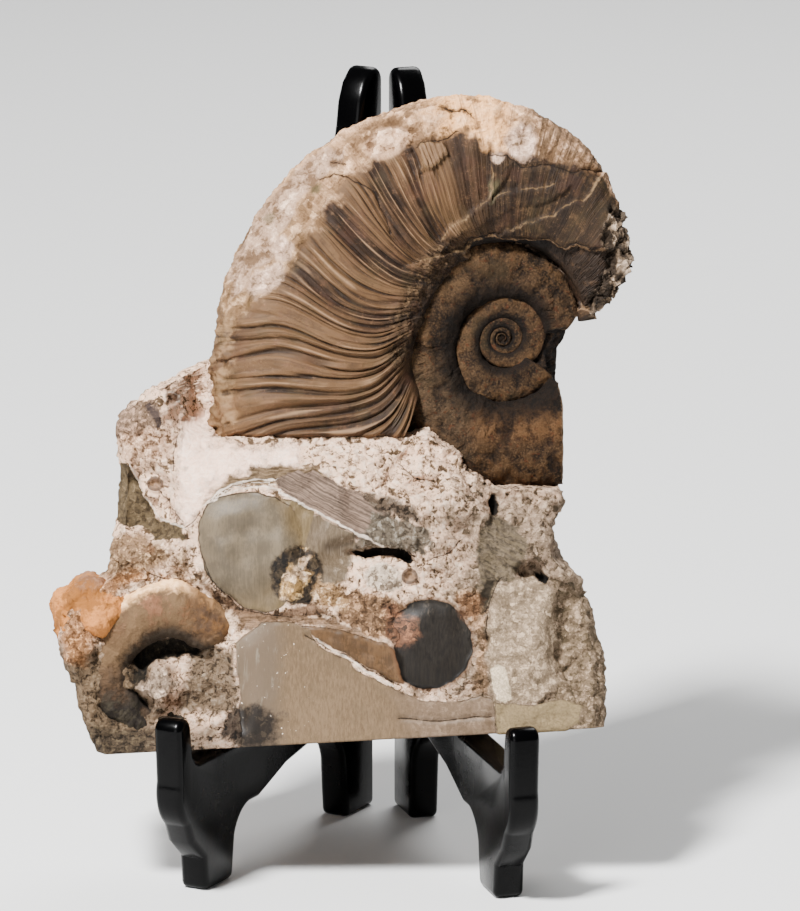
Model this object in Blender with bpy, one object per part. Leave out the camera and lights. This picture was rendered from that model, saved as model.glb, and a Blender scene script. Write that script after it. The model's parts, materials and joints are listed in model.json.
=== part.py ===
"""An ammonite standing out of its block of rock, which leans back on a folding easel.

Metres, +Z up, and the shell's face looks towards -Y. Lengths below are in millimetres.
The stone has a frame of its own, with its origin in the middle of the coil: u to the right,
v up along the front face and w out of that face, towards the viewer.
"""

import math

import bpy
import numpy as np
from mathutils import Vector, noise

MM = 0.001

# Driving dimensions of the stone
LEAN = math.radians(14.0)           # how far the front face leans back
COIL_HEIGHT = 88.5                  # of the coil's middle above the table
COIL_FORWARD = 38.2                 # of the coil's middle in front of the hinge
COIL_ASIDE = 19.0                   # of the coil's middle to the right of the hinge
COIL_PLANE = -13.8                  # w of the plane that the shell is coiled in
SAWN_SIDE = 9.8                     # u of the sawn right side beside the inner whorls
BLOCK_DEPTH = 22.0                  # of the block at its base, from front to back
BASE_RISE = 0.054                   # slope of the front lower edge, up to the right
BASE_FALL = 0.22                    # slope of the underside from that edge, down to the back

# Driving dimensions of the shell, a spiral that grows by a fixed share in each turn
RIM_AT_MOUTH = 47.6                 # outer radius near the end that the rock covers
MOUTH_ANGLE = 192.0                 # of that radius, in degrees from +u towards +v
GROWTH = 0.0024                     # of the outer radius, for each degree
FLATNESS = 0.52                     # of a whorl: half its thickness for half its height
RIB_STEP = 3.3                      # degrees from one rib to the next

# Driving dimensions of the easel
LEFT_LEAF = 27.8                    # degrees that each leaf is turned from straight ahead
RIGHT_LEAF = 16.5
PLATE = 5.0
PLATE_GAP = 0.3                     # between the two leaves when they are folded together
SEAT_HEIGHT = 22.7
SEAT_BACK = 35.5                    # distances from the hinge
HOOK_INSIDE = 65.6
HOOK_FRONT = 71.0
HOOK_HEIGHT = 30.6
TIP_HEIGHT = 125.5
TIP_FRONT = 8.4
BACK_EDGE = 3.6                     # of the plates beside the barrels
TIP_BACK = 0.4                      # of the plates above the barrels
EDGE_BEVEL = 1.1
ROD_RADIUS = 1.4
BORE_RADIUS = 1.8
BARREL_RADIUS = 3.1
BARREL_LENGTH = 12.0
BORE_OVERRUN = 1.0
ROUND_SIDES = 24                    # flat faces around a rod, a barrel or a bore
ROD_INSET = 2.0                     # of the rod's ends within the outer barrels
WEB_WIDTH = 3.0                     # of the walls that join the barrels to the plates
WEB_OVERLAP = 1.2
WEB_INSET = 0.2
LOWER_BARREL = 28.0                 # height of the lowest barrel's foot
UPPER_BARREL = 92.0

# The stone's edge seen from the front, from the base up, as (v, u)
LEFT_EDGE = ((-67.5, -65.9), (-62.5, -68.3), (-57.9, -69.4), (-53.4, -71.0), (-48.9, -72.2),
             (-44.4, -70.7), (-41.0, -67.0), (-37.6, -64.2), (-33.1, -63.4), (-19.5, -62.8),
             (-15.0, -62.1), (-12.8, -61.3), (-10.5, -59.9), (-8.2, -57.3), (-6.0, -53.4),
             (-3.7, -49.4), (-1.5, -44.0), (5.0, -37.0), (14.0, -33.5), (22.0, -27.0),
             (28.0, -19.0), (32.0, -9.0))
RIGHT_EDGE = ((-67.5, 16.5), (-53.4, 16.5), (-48.9, 15.8), (-44.4, 14.7), (-39.9, 12.8),
              (-35.3, 9.7), (-30.8, 7.9), (-26.3, 10.0), (-24.0, 9.4), (-6.0, 8.8),
              (-1.5, 9.2), (3.1, 11.6), (6.0, 17.0), (14.0, 18.0), (22.0, 15.0),
              (28.0, 9.0), (32.0, 4.0))
# The line where the rock in front meets the shell, as (u, v)
SHELF = ((-80.0, -16.4), (-46.6, -16.4), (-12.0, -15.8), (-6.8, -19.6),
         (-6.0, -21.5), (-1.8, -24.6), (20.0, -24.6))
# Lumps, ledges and hollows of the rock's face: u, v, half width, half height, how far out
FACE_FORMS = ((-57.0, -14.0, 4.0, 3.4, 0.9), (-58.0, -27.0, 6.0, 7.5, -3.6),
              (-55.0, -44.0, 17.0, 9.0, -2.6), (-55.0, -57.0, 14.5, 12.5, -3.6),
              (-56.0, -57.0, 5.0, 5.0, 2.2), (-60.5, -59.5, 5.0, 2.6, -2.6),
              (-40.0, -34.5, 8.5, 10.0, 0.8), (-24.0, -35.0, 5.5, 3.0, -2.0),
              (-20.5, -35.2, 6.0, 1.6, -1.8), (-13.0, -22.0, 8.0, 5.0, -2.6),
              (-5.0, -33.0, 7.0, 5.5, -1.8), (4.5, -37.8, 2.6, 2.0, -2.6),
              (2.5, -29.0, 6.0, 4.5, -2.4), (-11.5, -49.5, 6.5, 7.2, 0.5),
              (12.5, -50.0, 6.0, 12.0, -3.0), (-35.0, -40.0, 4.6, 4.6, -0.6),
              (0.0, -52.0, 7.5, 9.0, 0.6), (-50.0, -63.0, 9.0, 7.0, -1.6))
SHOULDER = (-56.0, -47.5)           # u where the shelf begins to fall back, and where it has
LEDGE_EASE = (-0.2, 1.4)            # heights over which the ledge above the shelf falls back
SHOULDER_EASE = (-1.0, 4.0)
FACE_COLUMNS = 19
ROW_STEP = 3.2
SIDE_INSET = 2.0


def between(value, points):
    """Reads a line given as (position, value) pairs."""
    return float(np.interp(value, [p[0] for p in points], [p[1] for p in points]))


def ease(value, low, high):
    """Goes smoothly from 0 at low to 1 at high."""
    share = min(max((value - low) / (high - low), 0.0), 1.0)
    return share * share * (3.0 - 2.0 * share)


def roughness(u, v, w, size, seed):
    """A smooth irregular value from about -1 to 1, the same on every run."""
    return noise.noise(Vector((u / size + seed, v / size, w / size - seed)))


def leaf_edge(height):
    """How far the uprights' front edges reach from the hinge at a height above the table."""
    share = (height - SEAT_HEIGHT) / (TIP_HEIGHT - 9.0 - SEAT_HEIGHT)
    return SEAT_BACK + (TIP_FRONT - SEAT_BACK) * min(max(share, 0.0), 1.0)


def clear_of_leaves(u, v, w, room=1.2):
    """Brings a point at the stone's back forward, out of the space that the leaves turn in."""
    for _ in range(3):
        height = COIL_HEIGHT + v * math.cos(LEAN) + w * math.sin(LEAN)
        reach = leaf_edge(height) + room
        aside = u + COIL_ASIDE
        if height > TIP_HEIGHT + 1.0 or abs(aside) >= reach:
            return w
        forward = math.sqrt(reach * reach - aside * aside)
        w = max(w, (forward - COIL_FORWARD + v * math.sin(LEAN)) / math.cos(LEAN))
    return w


def face_height(u, v):
    """w of the rock's front face."""
    shelf = between(u, SHELF)
    inward = ease(u, SHOULDER[0], SHOULDER[1])
    ledge = LEDGE_EASE if u > SHELF[1][0] else SHOULDER_EASE
    height = -5.2 * ease(v, shelf - 6.5, shelf) * inward
    height -= 9.0 * ease(v, shelf + ledge[0], shelf + ledge[1]) * inward
    height -= 6.0 * ease(-u, 45.0, 64.0) * ease(v, -46.0, -30.0)
    height -= 3.5 * ease(v, -9.0 - 0.9 * (u + 60.0), 3.0 - 0.9 * (u + 60.0)) * ease(-u, 45.0, 50.0)
    for mid_u, mid_v, half_u, half_v, out in FACE_FORMS:
        away = math.hypot((u - mid_u) / half_u, (v - mid_v) / half_v)
        height += out * (1.0 - ease(away, 0.45, 1.15))
    polished = ease(u, -46.0, -42.0) * ease(-u, 2.0, 6.0) * ease(-v, 43.0, 46.0)
    bare = (1.0 - polished) * (1.0 - ease(v, shelf - 1.0, shelf + 1.0))
    return height + bare * (0.8 * roughness(u, v, 0.0, 6.5, 3.1) + 0.6 * roughness(u, v, 0.0, 3.2, 7.7))


def back_height(u, v):
    """w of the rock's back face."""
    height = -23.6 - 2.2 * ease(-u, 34.0, 50.0) + 1.6 * roughness(u, v, 9.0, 11.0, 5.3)
    height += 0.8 * roughness(u, v, 4.0, 5.0, 1.9)
    return clear_of_leaves(u, v, height)


def base_offset(u, depth, row):
    """How far a point of a low row is shifted up the face, so that the lowest row lies on the base."""
    share = 1.0 - ease(row, LEFT_EDGE[0][0], LEFT_EDGE[0][0] + 16.0)
    rise = max(BASE_RISE * (u - LEFT_EDGE[0][1]) - BASE_FALL * depth, 0.0)
    return share * (depth * math.tan(LEAN) + rise)


def stone_point(u, v, w, row):
    """A point of the rock, moved up where it belongs to the base."""
    return Vector((u, v + base_offset(u, -w, row), w))


def rock_ring(row):
    """The closed outline of the rock at one height: front, right side, back and left side."""
    left = between(row, LEFT_EDGE)
    right = between(row, RIGHT_EDGE)
    columns = np.linspace(left + SIDE_INSET, right - SIDE_INSET, FACE_COLUMNS + 1)
    lowest = row <= LEFT_EDGE[0][0]
    front = [stone_point(u, row, 0.0 if lowest else face_height(u, row), row) for u in columns]
    back_columns = np.linspace(left + 2.5 * SIDE_INSET, right - 2.0 * SIDE_INSET, FACE_COLUMNS + 1)
    raised = row + base_offset(0.0, BLOCK_DEPTH, row)
    back = [stone_point(u, row, back_height(u, raised), row) for u in back_columns]
    rough = 0.9 * roughness(0.0, row, 0.0, 7.0, 2.2)
    sides = []
    edges = ((right, 1.0, front[-1].z, back[-1].z), (left, -1.0, front[0].z, back[0].z))
    for edge, outward, first, last in edges:
        near = stone_point(edge, row, first - 3.0 + rough, row)
        far = stone_point(edge - outward * (0.8 + rough), row, last + 5.5, row)
        sides.append((near, far))
    return front + [sides[0][0], sides[0][1]] + back[::-1] + [sides[1][1], sides[1][0]]


def mesh_object(name, points, faces, material=None, smooth=False):
    """Makes an object from points in the stone's frame, in millimetres."""
    mesh = bpy.data.meshes.new(name)
    mesh.from_pydata([(p[0] * MM, -p[2] * MM, p[1] * MM) for p in points], [], faces)
    mesh.update()
    mesh.validate()
    made = bpy.data.objects.new(name, mesh)
    bpy.context.scene.collection.objects.link(made)
    if material:
        mesh.materials.append(material)
    if smooth:
        mesh.shade_smooth()
        mesh.set_sharp_from_angle(angle=math.radians(35.0))
    return made


def joined_rings(rings):
    """Faces between rings of equal length, wound so that they look outwards."""
    count = len(rings[0])
    faces = []
    for level in range(len(rings) - 1):
        for step in range(count):
            following = (step + 1) % count
            low = level * count
            faces.append((low + step, low + following, low + count + following, low + count + step))
    return faces


def rock():
    """The block that holds the shells, as one closed mesh of rings with a flat base."""
    rows = list(np.arange(LEFT_EDGE[0][0], LEFT_EDGE[-1][0], ROW_STEP)) + [LEFT_EDGE[-1][0]]
    rings = [rock_ring(row) for row in rows]
    points = [point for ring in rings for point in ring]
    faces = joined_rings(rings)
    last = FACE_COLUMNS
    right_near = last + 1
    right_far = last + 2
    left_far = 2 * last + 4
    left_near = 2 * last + 5

    def back(column):
        return 2 * last + 3 - column

    middle = len(points)
    for point in rings[0][:last + 1]:
        rise = max(BASE_RISE * (point.x - LEFT_EDGE[0][1]), 0.0)
        points.append(stone_point(point.x, rows[0], -(rise / BASE_FALL + 1.0), rows[0]))
    for column in range(last):
        faces.append((column, middle + column, middle + column + 1, column + 1))
        faces.append((middle + column, back(column), back(column + 1), middle + column + 1))
    faces.append((0, left_near, left_far, back(0), middle))
    faces.append((last, middle + last, back(last), right_far, right_near))
    top = (len(rings) - 1) * len(rings[0])
    for column in range(last):
        faces.append((top + column, top + column + 1, top + back(column + 1), top + back(column)))
    faces.append((top, top + back(0), top + left_far, top + left_near))
    faces.append((top + last, top + right_near, top + right_far, top + back(last)))
    return points, faces


# Where the outer whorl's edge is broken away at the right, as (angle, share of the radius that is lost)
# and where it stands out beyond the spiral, which counts as a loss below 0
BROKEN_RIM = ((15.0, 0.43), (29.0, 0.252), (47.0, 0.158), (65.0, 0.04), (81.0, -0.017),
              (96.5, -0.056), (116.5, -0.042), (134.0, -0.04), (152.0, -0.03), (172.0, -0.022),
              (192.0, -0.008), (221.0, -0.008))
# The inner edge of each whorl, as (angle, radius)
OUTER_SEAM = ((15.0, 12.6), (26.0, 12.9), (50.0, 13.8), (80.0, 14.8), (114.0, 14.8), (143.0, 12.9),
              (175.0, 12.6), (203.0, 15.0), (221.0, 15.7))
INNER_SEAM = ((-352.0, 6.3), (-270.0, 6.5), (-180.0, 6.5), (-150.0, 8.1), (-120.0, 9.7),
              (-90.0, 10.2), (-36.0, 10.0))
COIL_RIM = ((-1000.0, 1.7), (-900.0, 1.95), (-720.0, 3.3), (-630.0, 3.6), (-540.0, 3.7),
            (-450.0, 5.0), (-360.0, 6.7))
COIL_SEAM = (0.3, 0.42)             # the smallest whorls' inner edge: a radius, and a share of the rim
# How far the ribs bow forward in the middle of the flank, and run back at the seam, in degrees
RIB_BOW = ((125.0, 0.0), (152.0, 3.0), (172.0, 8.0), (200.0, 14.6))
RIB_HOOK = ((90.0, 3.0), (130.0, 7.0), (200.0, 11.0))
RIB_HEIGHT = ((85.0, 0.0), (100.0, 0.16), (150.0, 0.34), (172.0, 0.5), (185.0, 0.75), (222.0, 0.8))
RIBBED_SHARE = 0.93                 # of the flank, outwards from the seam, that the ribs reach
BREAK_RELIEF = 0.7
THINNEST = 0.7                      # half the thickness of the smallest whorls
OUTER_WHORL = (15.0, 221.0)
LOWER_WHORL = (-152.0, -38.0)
UPPER_WHORL = (-352.0, -140.0)
INNER_COIL = (-1000.0, -336.0)
SECTION_POINTS = 20


def rim(angle):
    """The spiral that the shell's outer edge follows."""
    return RIM_AT_MOUTH * math.exp(GROWTH * (angle - MOUTH_ANGLE))


def outer_rim(angle):
    """The outer whorl's edge, less what is broken away."""
    return rim(angle) * (1.0 - between(angle, BROKEN_RIM))


def outer_seam(angle):
    return between(angle, OUTER_SEAM)


def inner_seam(angle):
    return between(angle, INNER_SEAM)


def coil_rim(angle):
    return between(angle, COIL_RIM)


def coil_seam(angle):
    return COIL_SEAM[0] + COIL_SEAM[1] * coil_rim(angle)


def rib_sweep(angle, share):
    """How far a rib has turned, in degrees, at a share of the way from the seam to the rim."""
    bow = between(angle, RIB_BOW) * ease(0.75 - share, 0.0, 0.5)
    hook = between(angle, RIB_HOOK) * max(0.0, 1.0 - share / 0.25) ** 2
    return bow - hook


def rounded(value, power):
    """Raises a sine or a cosine to a power, with its sign kept."""
    return math.copysign(abs(value) ** power, value)


def whorl(span, step, count, seam_of, rim_of, ribbed=False):
    """One stretch of the shell's tube, ring by ring along the coil."""
    rings = []
    for index in range(int(round((span[1] - span[0]) / step)) + 1):
        angle = span[0] + index * step
        seam = seam_of(angle)
        half_height = (rim_of(angle) - seam) / 2.0
        half_width = max(FLATNESS * half_height, THINNEST)
        ring = []
        for corner in range(count):
            turn = 2.0 * math.pi * corner / count
            across = rounded(math.cos(turn), 0.85)
            share = (1.0 + across) / 2.0
            swept = angle
            lift = 0.0
            if ribbed:
                swept += rib_sweep(angle, share)
                crest = math.cos(2.0 * math.pi * (angle - span[0]) / RIB_STEP)
                lift = between(angle, RIB_HEIGHT) * crest * ease(RIBBED_SHARE - share, 0.0, 0.1)
                broken = BREAK_RELIEF * ease(60.0 - angle, 0.0, 20.0)
                lift += broken * roughness(angle / 4.0, corner, 0.0, 1.7, 4.4)
            radius = seam + half_height * (1.0 + across)
            w = COIL_PLANE + (half_width + lift) * rounded(math.sin(turn), 0.72)
            u = radius * math.cos(math.radians(swept))
            v = radius * math.sin(math.radians(swept))
            ring.append(Vector((u, v, clear_of_leaves(u, v, w))))
        rings.append(ring)
    points = [point for ring in rings for point in ring]
    faces = joined_rings(rings)
    faces.append(tuple(range(count))[::-1])
    faces.append(tuple(len(points) - count + corner for corner in range(count)))
    return points, [face[::-1] for face in faces]


# The small shell at the lower left: its middle, its rim and its tube
SMALL_COIL = (-55.5, -56.3)
SMALL_RIM = ((30.0, 15.4), (80.0, 17.4), (148.0, 13.4), (240.0, 10.0), (330.0, 7.4))
SMALL_SPAN = (34.0, 318.0)
SMALL_HALF = ((34.0, 3.2), (50.0, 3.9), (80.0, 4.7), (115.0, 4.5), (148.0, 3.8), (200.0, 3.8),
              (240.0, 3.1), (330.0, 1.8))
SMALL_THICKNESS = 0.72              # of the tube: its half thickness for its half height
SMALL_PLANE = -3.6
SMALL_STEP = 7.1
SMALL_SINK = 0.011                  # how far the tube falls back for each degree that it coils inwards


def small_shell():
    """The small shell's tube, thinner as it coils inwards."""
    rings = []
    count = 12
    for index in range(int(round((SMALL_SPAN[1] - SMALL_SPAN[0]) / SMALL_STEP)) + 1):
        angle = SMALL_SPAN[0] + index * SMALL_STEP
        outer = between(angle, SMALL_RIM)
        half = between(angle, SMALL_HALF)
        sunk = SMALL_PLANE - SMALL_SINK * (angle - SMALL_SPAN[0])
        ring = []
        for corner in range(count):
            turn = 2.0 * math.pi * corner / count
            radius = outer - half + half * math.cos(turn)
            u = SMALL_COIL[0] + radius * math.cos(math.radians(angle))
            v = SMALL_COIL[1] + radius * math.sin(math.radians(angle))
            ring.append(Vector((u, v, sunk + SMALL_THICKNESS * half * math.sin(turn))))
        rings.append(ring)
    points = [point for ring in rings for point in ring]
    faces = joined_rings(rings)
    faces.append(tuple(range(count))[::-1])
    faces.append(tuple(len(points) - count + corner for corner in range(count)))
    return points, [face[::-1] for face in faces]


KNOB_MIDDLE = (-66.0, -45.8, -9.0)
KNOB_HALF_SIZE = (7.0, 7.4, 8.0)
KNOB_SWELL = 0.22


def knob():
    """The lump of orange rock at the far left."""
    rings = []
    count = 12
    for level in range(1, 8):
        polar = math.pi * level / 8
        ring = []
        for corner in range(count):
            turn = 2.0 * math.pi * corner / count
            across = math.sin(polar)
            way = Vector((across * math.cos(turn), -math.cos(polar), -across * math.sin(turn)))
            swell = 1.0 + KNOB_SWELL * roughness(way.x, way.y, way.z, 0.55, 6.2)
            place = [KNOB_MIDDLE[axis] + KNOB_HALF_SIZE[axis] * way[axis] * swell for axis in range(3)]
            ring.append(Vector(place))
        rings.append(ring)
    points = [point for ring in rings for point in ring]
    faces = joined_rings(rings)
    faces.append(tuple(range(count))[::-1])
    faces.append(tuple(len(points) - count + corner for corner in range(count)))
    return points, faces


# The saw cut beside the inner whorls, as (u, v)
SAW_CUT = ((SAWN_SIDE, -24.4), (60.0, -24.4), (60.0, 5.2), (16.6, 5.2), (12.0, 3.4), (10.0, 0.5),
           (9.1, -1.5), (8.7, -3.9), (9.2, -8.2), (9.8, -11.0))
CUT_DEPTH = 45.0


def prism(outline, low, high):
    """A straight block over an outline given as (u, v), counter-clockwise."""
    count = len(outline)
    points = [(u, v, low) for u, v in outline] + [(u, v, high) for u, v in outline]
    faces = [tuple(range(count))[::-1], tuple(range(count, 2 * count))]
    for corner in range(count):
        following = (corner + 1) % count
        faces.append((corner, following, count + following, count + corner))
    return points, faces


def plain_material(name, colour, roughness_value):
    made = bpy.data.materials.new(name)
    made.use_nodes = True
    shader = made.node_tree.nodes["Principled BSDF"]
    shader.inputs["Base Color"].default_value = (*colour, 1.0)
    shader.inputs["Roughness"].default_value = roughness_value
    shader.inputs["Metallic"].default_value = 0.0
    return made


def combined(target, other, operation):
    """Joins or cuts the target with another object, which then isn't part of the model."""
    modifier = target.modifiers.new(other.name, "BOOLEAN")
    modifier.operation = operation
    modifier.solver = "EXACT"
    modifier.object = other
    other.hide_render = True
    other.display_type = "WIRE"


def empty(name, parent=None):
    made = bpy.data.objects.new(name, None)
    bpy.context.scene.collection.objects.link(made)
    made.parent = parent
    return made


def build_stone(root):
    """The block, the two shells and the knob, grown together in one solid."""
    place = empty("stone_place", root)
    place.location = (COIL_ASIDE * MM, -COIL_FORWARD * MM, COIL_HEIGHT * MM)
    place.rotation_euler = (-LEAN, 0.0, 0.0)
    stone = mesh_object("ammonite_stone", *rock(), plain_material("stone", (0.52, 0.42, 0.34), 0.85))
    shapes = {
        "outer_whorl": whorl(OUTER_WHORL, RIB_STEP / 2, SECTION_POINTS, outer_seam, outer_rim, True),
        "lower_whorl": whorl(LOWER_WHORL, 6.0, 16, inner_seam, rim),
        "upper_whorl": whorl(UPPER_WHORL, 7.0, 14, inner_seam, rim),
        "inner_coil": whorl(INNER_COIL, 16.0, 8, coil_seam, coil_rim),
        "small_shell": small_shell(),
        "knob": knob(),
    }
    for name, shape in shapes.items():
        other = mesh_object(name, *shape)
        other.parent = place
        combined(stone, other, "UNION")
    saw = mesh_object("saw_cut", *prism(SAW_CUT, -CUT_DEPTH, CUT_DEPTH))
    saw.parent = place
    combined(stone, saw, "DIFFERENCE")
    stone.parent = place
    return stone


def arc(middle, radius, first, last, steps):
    """Points of an arc in the leaf's plane, as (distance, height), by angles in degrees."""
    turns = np.radians(np.linspace(first, last, steps + 1))
    return [(middle[0] + radius * math.cos(turn), middle[1] + radius * math.sin(turn)) for turn in turns]


def leaf_outline():
    """One leaf seen from its side, counter-clockwise from the rear foot's back corner."""
    tip_middle = (TIP_BACK + 2.4, TIP_HEIGHT - 2.4)
    neck = UPPER_BARREL + BARREL_LENGTH + 1.0
    hook_middle = (HOOK_FRONT - 2.7, HOOK_HEIGHT - 2.2)
    return [
        (BACK_EDGE, 0.0), (13.5, 0.0), *arc((22.5, 8.0), 8.4, 165.0, 80.0, 4),
        (34.0, 14.6), (43.5, 11.3), *arc((45.5, 4.9), 6.5, 80.0, 20.0, 3), (52.6, 0.0), (61.6, 0.0),
        (62.2, 5.6), (66.2, 9.2), *arc((62.6, 18.0), 7.6, -50.0, 15.0, 4),
        *arc(hook_middle, 2.2, 10.0, 160.0, 5), (HOOK_INSIDE + 0.2, 26.4),
        *arc((HOOK_INSIDE - 2.0, SEAT_HEIGHT + 2.0), 2.0, 0.0, -90.0, 3),
        (SEAT_BACK, SEAT_HEIGHT), (TIP_FRONT, TIP_HEIGHT - 9.0), (TIP_FRONT - 0.7, TIP_HEIGHT - 5.2),
        (TIP_FRONT - 2.3, TIP_HEIGHT - 2.0), *arc(tip_middle, 2.4, 60.0, 180.0, 4),
        (TIP_BACK, neck + 2.0), (BACK_EDGE, neck),
    ]


def leaf_mesh(name, side):
    """A leaf's plate, its back edge beside the hinge. side is 1 for the right leaf, -1 for the left."""
    outline = leaf_outline()
    count = len(outline)
    near = side * PLATE_GAP / 2
    far = side * (PLATE + PLATE_GAP / 2)
    points = [(x * MM, -r * MM, z * MM) for x in (near, far) for r, z in outline]
    faces = [tuple(range(count)), tuple(range(count, 2 * count))[::-1]]
    for corner in range(count):
        following = (corner + 1) % count
        faces.append((corner, count + corner, count + following, following))
    if side < 0:
        faces = [face[::-1] for face in faces]
    mesh = bpy.data.meshes.new(name)
    mesh.from_pydata(points, [], [face[::-1] for face in faces])
    made = bpy.data.objects.new(name, mesh)
    bpy.context.scene.collection.objects.link(made)
    bevel = made.modifiers.new("edges", "BEVEL")
    bevel.width = EDGE_BEVEL * MM
    bevel.segments = 1
    bevel.limit_method = "ANGLE"
    bevel.angle_limit = math.radians(50.0)
    return made


def cylinder(name, radius, low, high, sides, parent):
    bpy.ops.mesh.primitive_cylinder_add(vertices=sides, radius=radius * MM, depth=(high - low) * MM,
                                        location=(0.0, 0.0, (low + high) / 2 * MM))
    made = bpy.context.object
    made.name = name
    made.parent = parent
    return made


def web(name, side, low, high, parent):
    """The short wall that joins a barrel to its plate."""
    across = side * (PLATE_GAP / 2 + WEB_WIDTH / 2)
    depth = BACK_EDGE + WEB_OVERLAP
    place = (across * MM, -depth / 2 * MM, (low + high) / 2 * MM)
    bpy.ops.mesh.primitive_cube_add(size=1.0, location=place)
    made = bpy.context.object
    made.name = name
    made.scale = (WEB_WIDTH * MM, depth * MM, (high - low - 2 * WEB_INSET) * MM)
    made.parent = parent
    return made


def build_leaf(name, side, angle, root, material):
    """One leaf with its barrels, turned about the hinge."""
    turn = empty(name + "_hinge", root)
    turn.rotation_euler = (0.0, 0.0, math.radians(angle))
    leaf = leaf_mesh(name, side)
    leaf.data.materials.append(material)
    leaf.parent = turn
    starts = (LOWER_BARREL, UPPER_BARREL) if side < 0 else (
        LOWER_BARREL + BARREL_LENGTH + PLATE_GAP, UPPER_BARREL - BARREL_LENGTH - PLATE_GAP)
    for index, low in enumerate(starts):
        high = low + BARREL_LENGTH
        combined(leaf, web(f"{name}_web_{index}", side, low, high, turn), "UNION")
        barrel = cylinder(f"{name}_barrel_{index}", BARREL_RADIUS, low, high, ROUND_SIDES, turn)
        combined(leaf, barrel, "UNION")
        if side > 0:
            bore = cylinder(f"{name}_bore_{index}", BORE_RADIUS, low - BORE_OVERRUN,
                            high + BORE_OVERRUN, ROUND_SIDES, turn)
            combined(leaf, bore, "DIFFERENCE")
    if side < 0:
        rod = cylinder(f"{name}_rod", ROD_RADIUS, LOWER_BARREL + ROD_INSET,
                       UPPER_BARREL + BARREL_LENGTH - ROD_INSET, ROUND_SIDES, turn)
        combined(leaf, rod, "UNION")
    return leaf


def centre_on_base(root, parts):
    """Moves the whole model so that the middle of its base is the origin."""
    bpy.context.view_layer.update()
    graph = bpy.context.evaluated_depsgraph_get()
    corners = []
    for part in parts:
        evaluated = part.evaluated_get(graph)
        corners += [evaluated.matrix_world @ vertex.co for vertex in evaluated.data.vertices]
    low = [min(corner[axis] for corner in corners) for axis in range(3)]
    high = [max(corner[axis] for corner in corners) for axis in range(3)]
    root.location = (-(low[0] + high[0]) / 2, -(low[1] + high[1]) / 2, -low[2])


def main():
    for old in list(bpy.data.objects):
        bpy.data.objects.remove(old, do_unlink=True)
    root = empty("hinge_line")
    black = plain_material("easel_plastic", (0.012, 0.012, 0.014), 0.22)
    stone = build_stone(root)
    left = build_leaf("easel_left_leaf", -1, -LEFT_LEAF, root, black)
    right = build_leaf("easel_right_leaf", 1, RIGHT_LEAF, root, black)
    centre_on_base(root, (stone, left, right))


main()
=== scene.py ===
"""An ammonite standing out of its block of rock, on a folding easel, dressed for the camera.

Metres, +Z up. The stone has a frame of its own, in millimetres: u to the right, v up along
its front face and w out of that face, with the origin in the middle of the coil.
"""

import json
import math

import bpy
import numpy as np
from bpy.props import FloatProperty, FloatVectorProperty, PointerProperty
from mathutils import Matrix, Vector, noise


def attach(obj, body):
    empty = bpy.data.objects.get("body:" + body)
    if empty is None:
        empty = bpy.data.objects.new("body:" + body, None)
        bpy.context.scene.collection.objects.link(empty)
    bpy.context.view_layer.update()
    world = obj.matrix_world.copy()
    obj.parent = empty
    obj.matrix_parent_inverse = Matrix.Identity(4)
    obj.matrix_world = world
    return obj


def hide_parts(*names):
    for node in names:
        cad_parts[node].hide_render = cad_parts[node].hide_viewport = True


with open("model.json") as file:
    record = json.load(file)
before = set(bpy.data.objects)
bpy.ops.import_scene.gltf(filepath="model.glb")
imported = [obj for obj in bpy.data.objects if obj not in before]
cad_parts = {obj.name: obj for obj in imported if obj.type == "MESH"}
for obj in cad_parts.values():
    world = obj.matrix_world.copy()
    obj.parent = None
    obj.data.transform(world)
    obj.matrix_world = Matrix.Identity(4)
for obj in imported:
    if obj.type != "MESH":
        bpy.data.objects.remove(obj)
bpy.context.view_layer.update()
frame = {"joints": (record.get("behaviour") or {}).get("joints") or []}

bl_info = {
    "name": "Fossil ammonite on an easel",
    "version": (1, 0, 0),
    "blender": (4, 5, 0),
    "location": "View3D > Sidebar > Ammonite",
    "description": "Builds the fossil, its rock and its easel around the packed model",
    "category": "Object",
}

MM = 0.001

# Where the stone stands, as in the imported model
LEAN = math.radians(14.0)
HINGE = Vector(frame["joints"][0]["pos_m"])
COIL_HEIGHT = 88.5
COIL_FORWARD = 38.2
COIL_ASIDE = 19.0

# The picture's own grid, on the plane w = 0: its size, a grid step, and where the coil's middle lies
PICTURE = (800, 911)
GRID = 0.1614
COIL_AT = (503.0, 337.0)
VIEW_DISTANCE = 1500.0


# Numbers

def between(value, points):
    """Reads a line given as (position, value) pairs."""
    return np.interp(value, [p[0] for p in points], [p[1] for p in points])


def ease(value, low, high):
    """Goes smoothly from 0 at low to 1 at high."""
    share = np.clip((value - low) / (high - low), 0.0, 1.0)
    return share * share * (3.0 - 2.0 * share)


def coherent(points, size, seed):
    """A smooth irregular value from about -1 to 1 at each point."""
    return np.array([noise.noise((x / size + seed, y / size, z / size - seed)) for x, y, z in points])


def fractal(points, size, seed, octaves=4, dimension=0.9):
    """Several sizes of smooth irregular relief on each other."""
    return np.array([noise.fractal((x / size + seed, y / size - seed, z / size), dimension, 2.1, octaves)
                     for x, y, z in points])


def chipped(points, size, seed):
    """Angular broken faces: each chip leans its own way."""
    noise.seed_set(3)
    heights = np.empty(len(points))
    for index, (x, y, z) in enumerate(points):
        spot = Vector((x / size + seed, y / size - seed, z / size + seed))
        middle = noise.voronoi(spot)[1][0]
        lean = noise.noise_vector(middle * 5.3 + Vector((seed, 0.5, 0.5)))
        heights[index] = (spot - middle).dot(lean)
    return heights


def columns_of(points):
    return points[:, 0], points[:, 1], points[:, 2]


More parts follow.
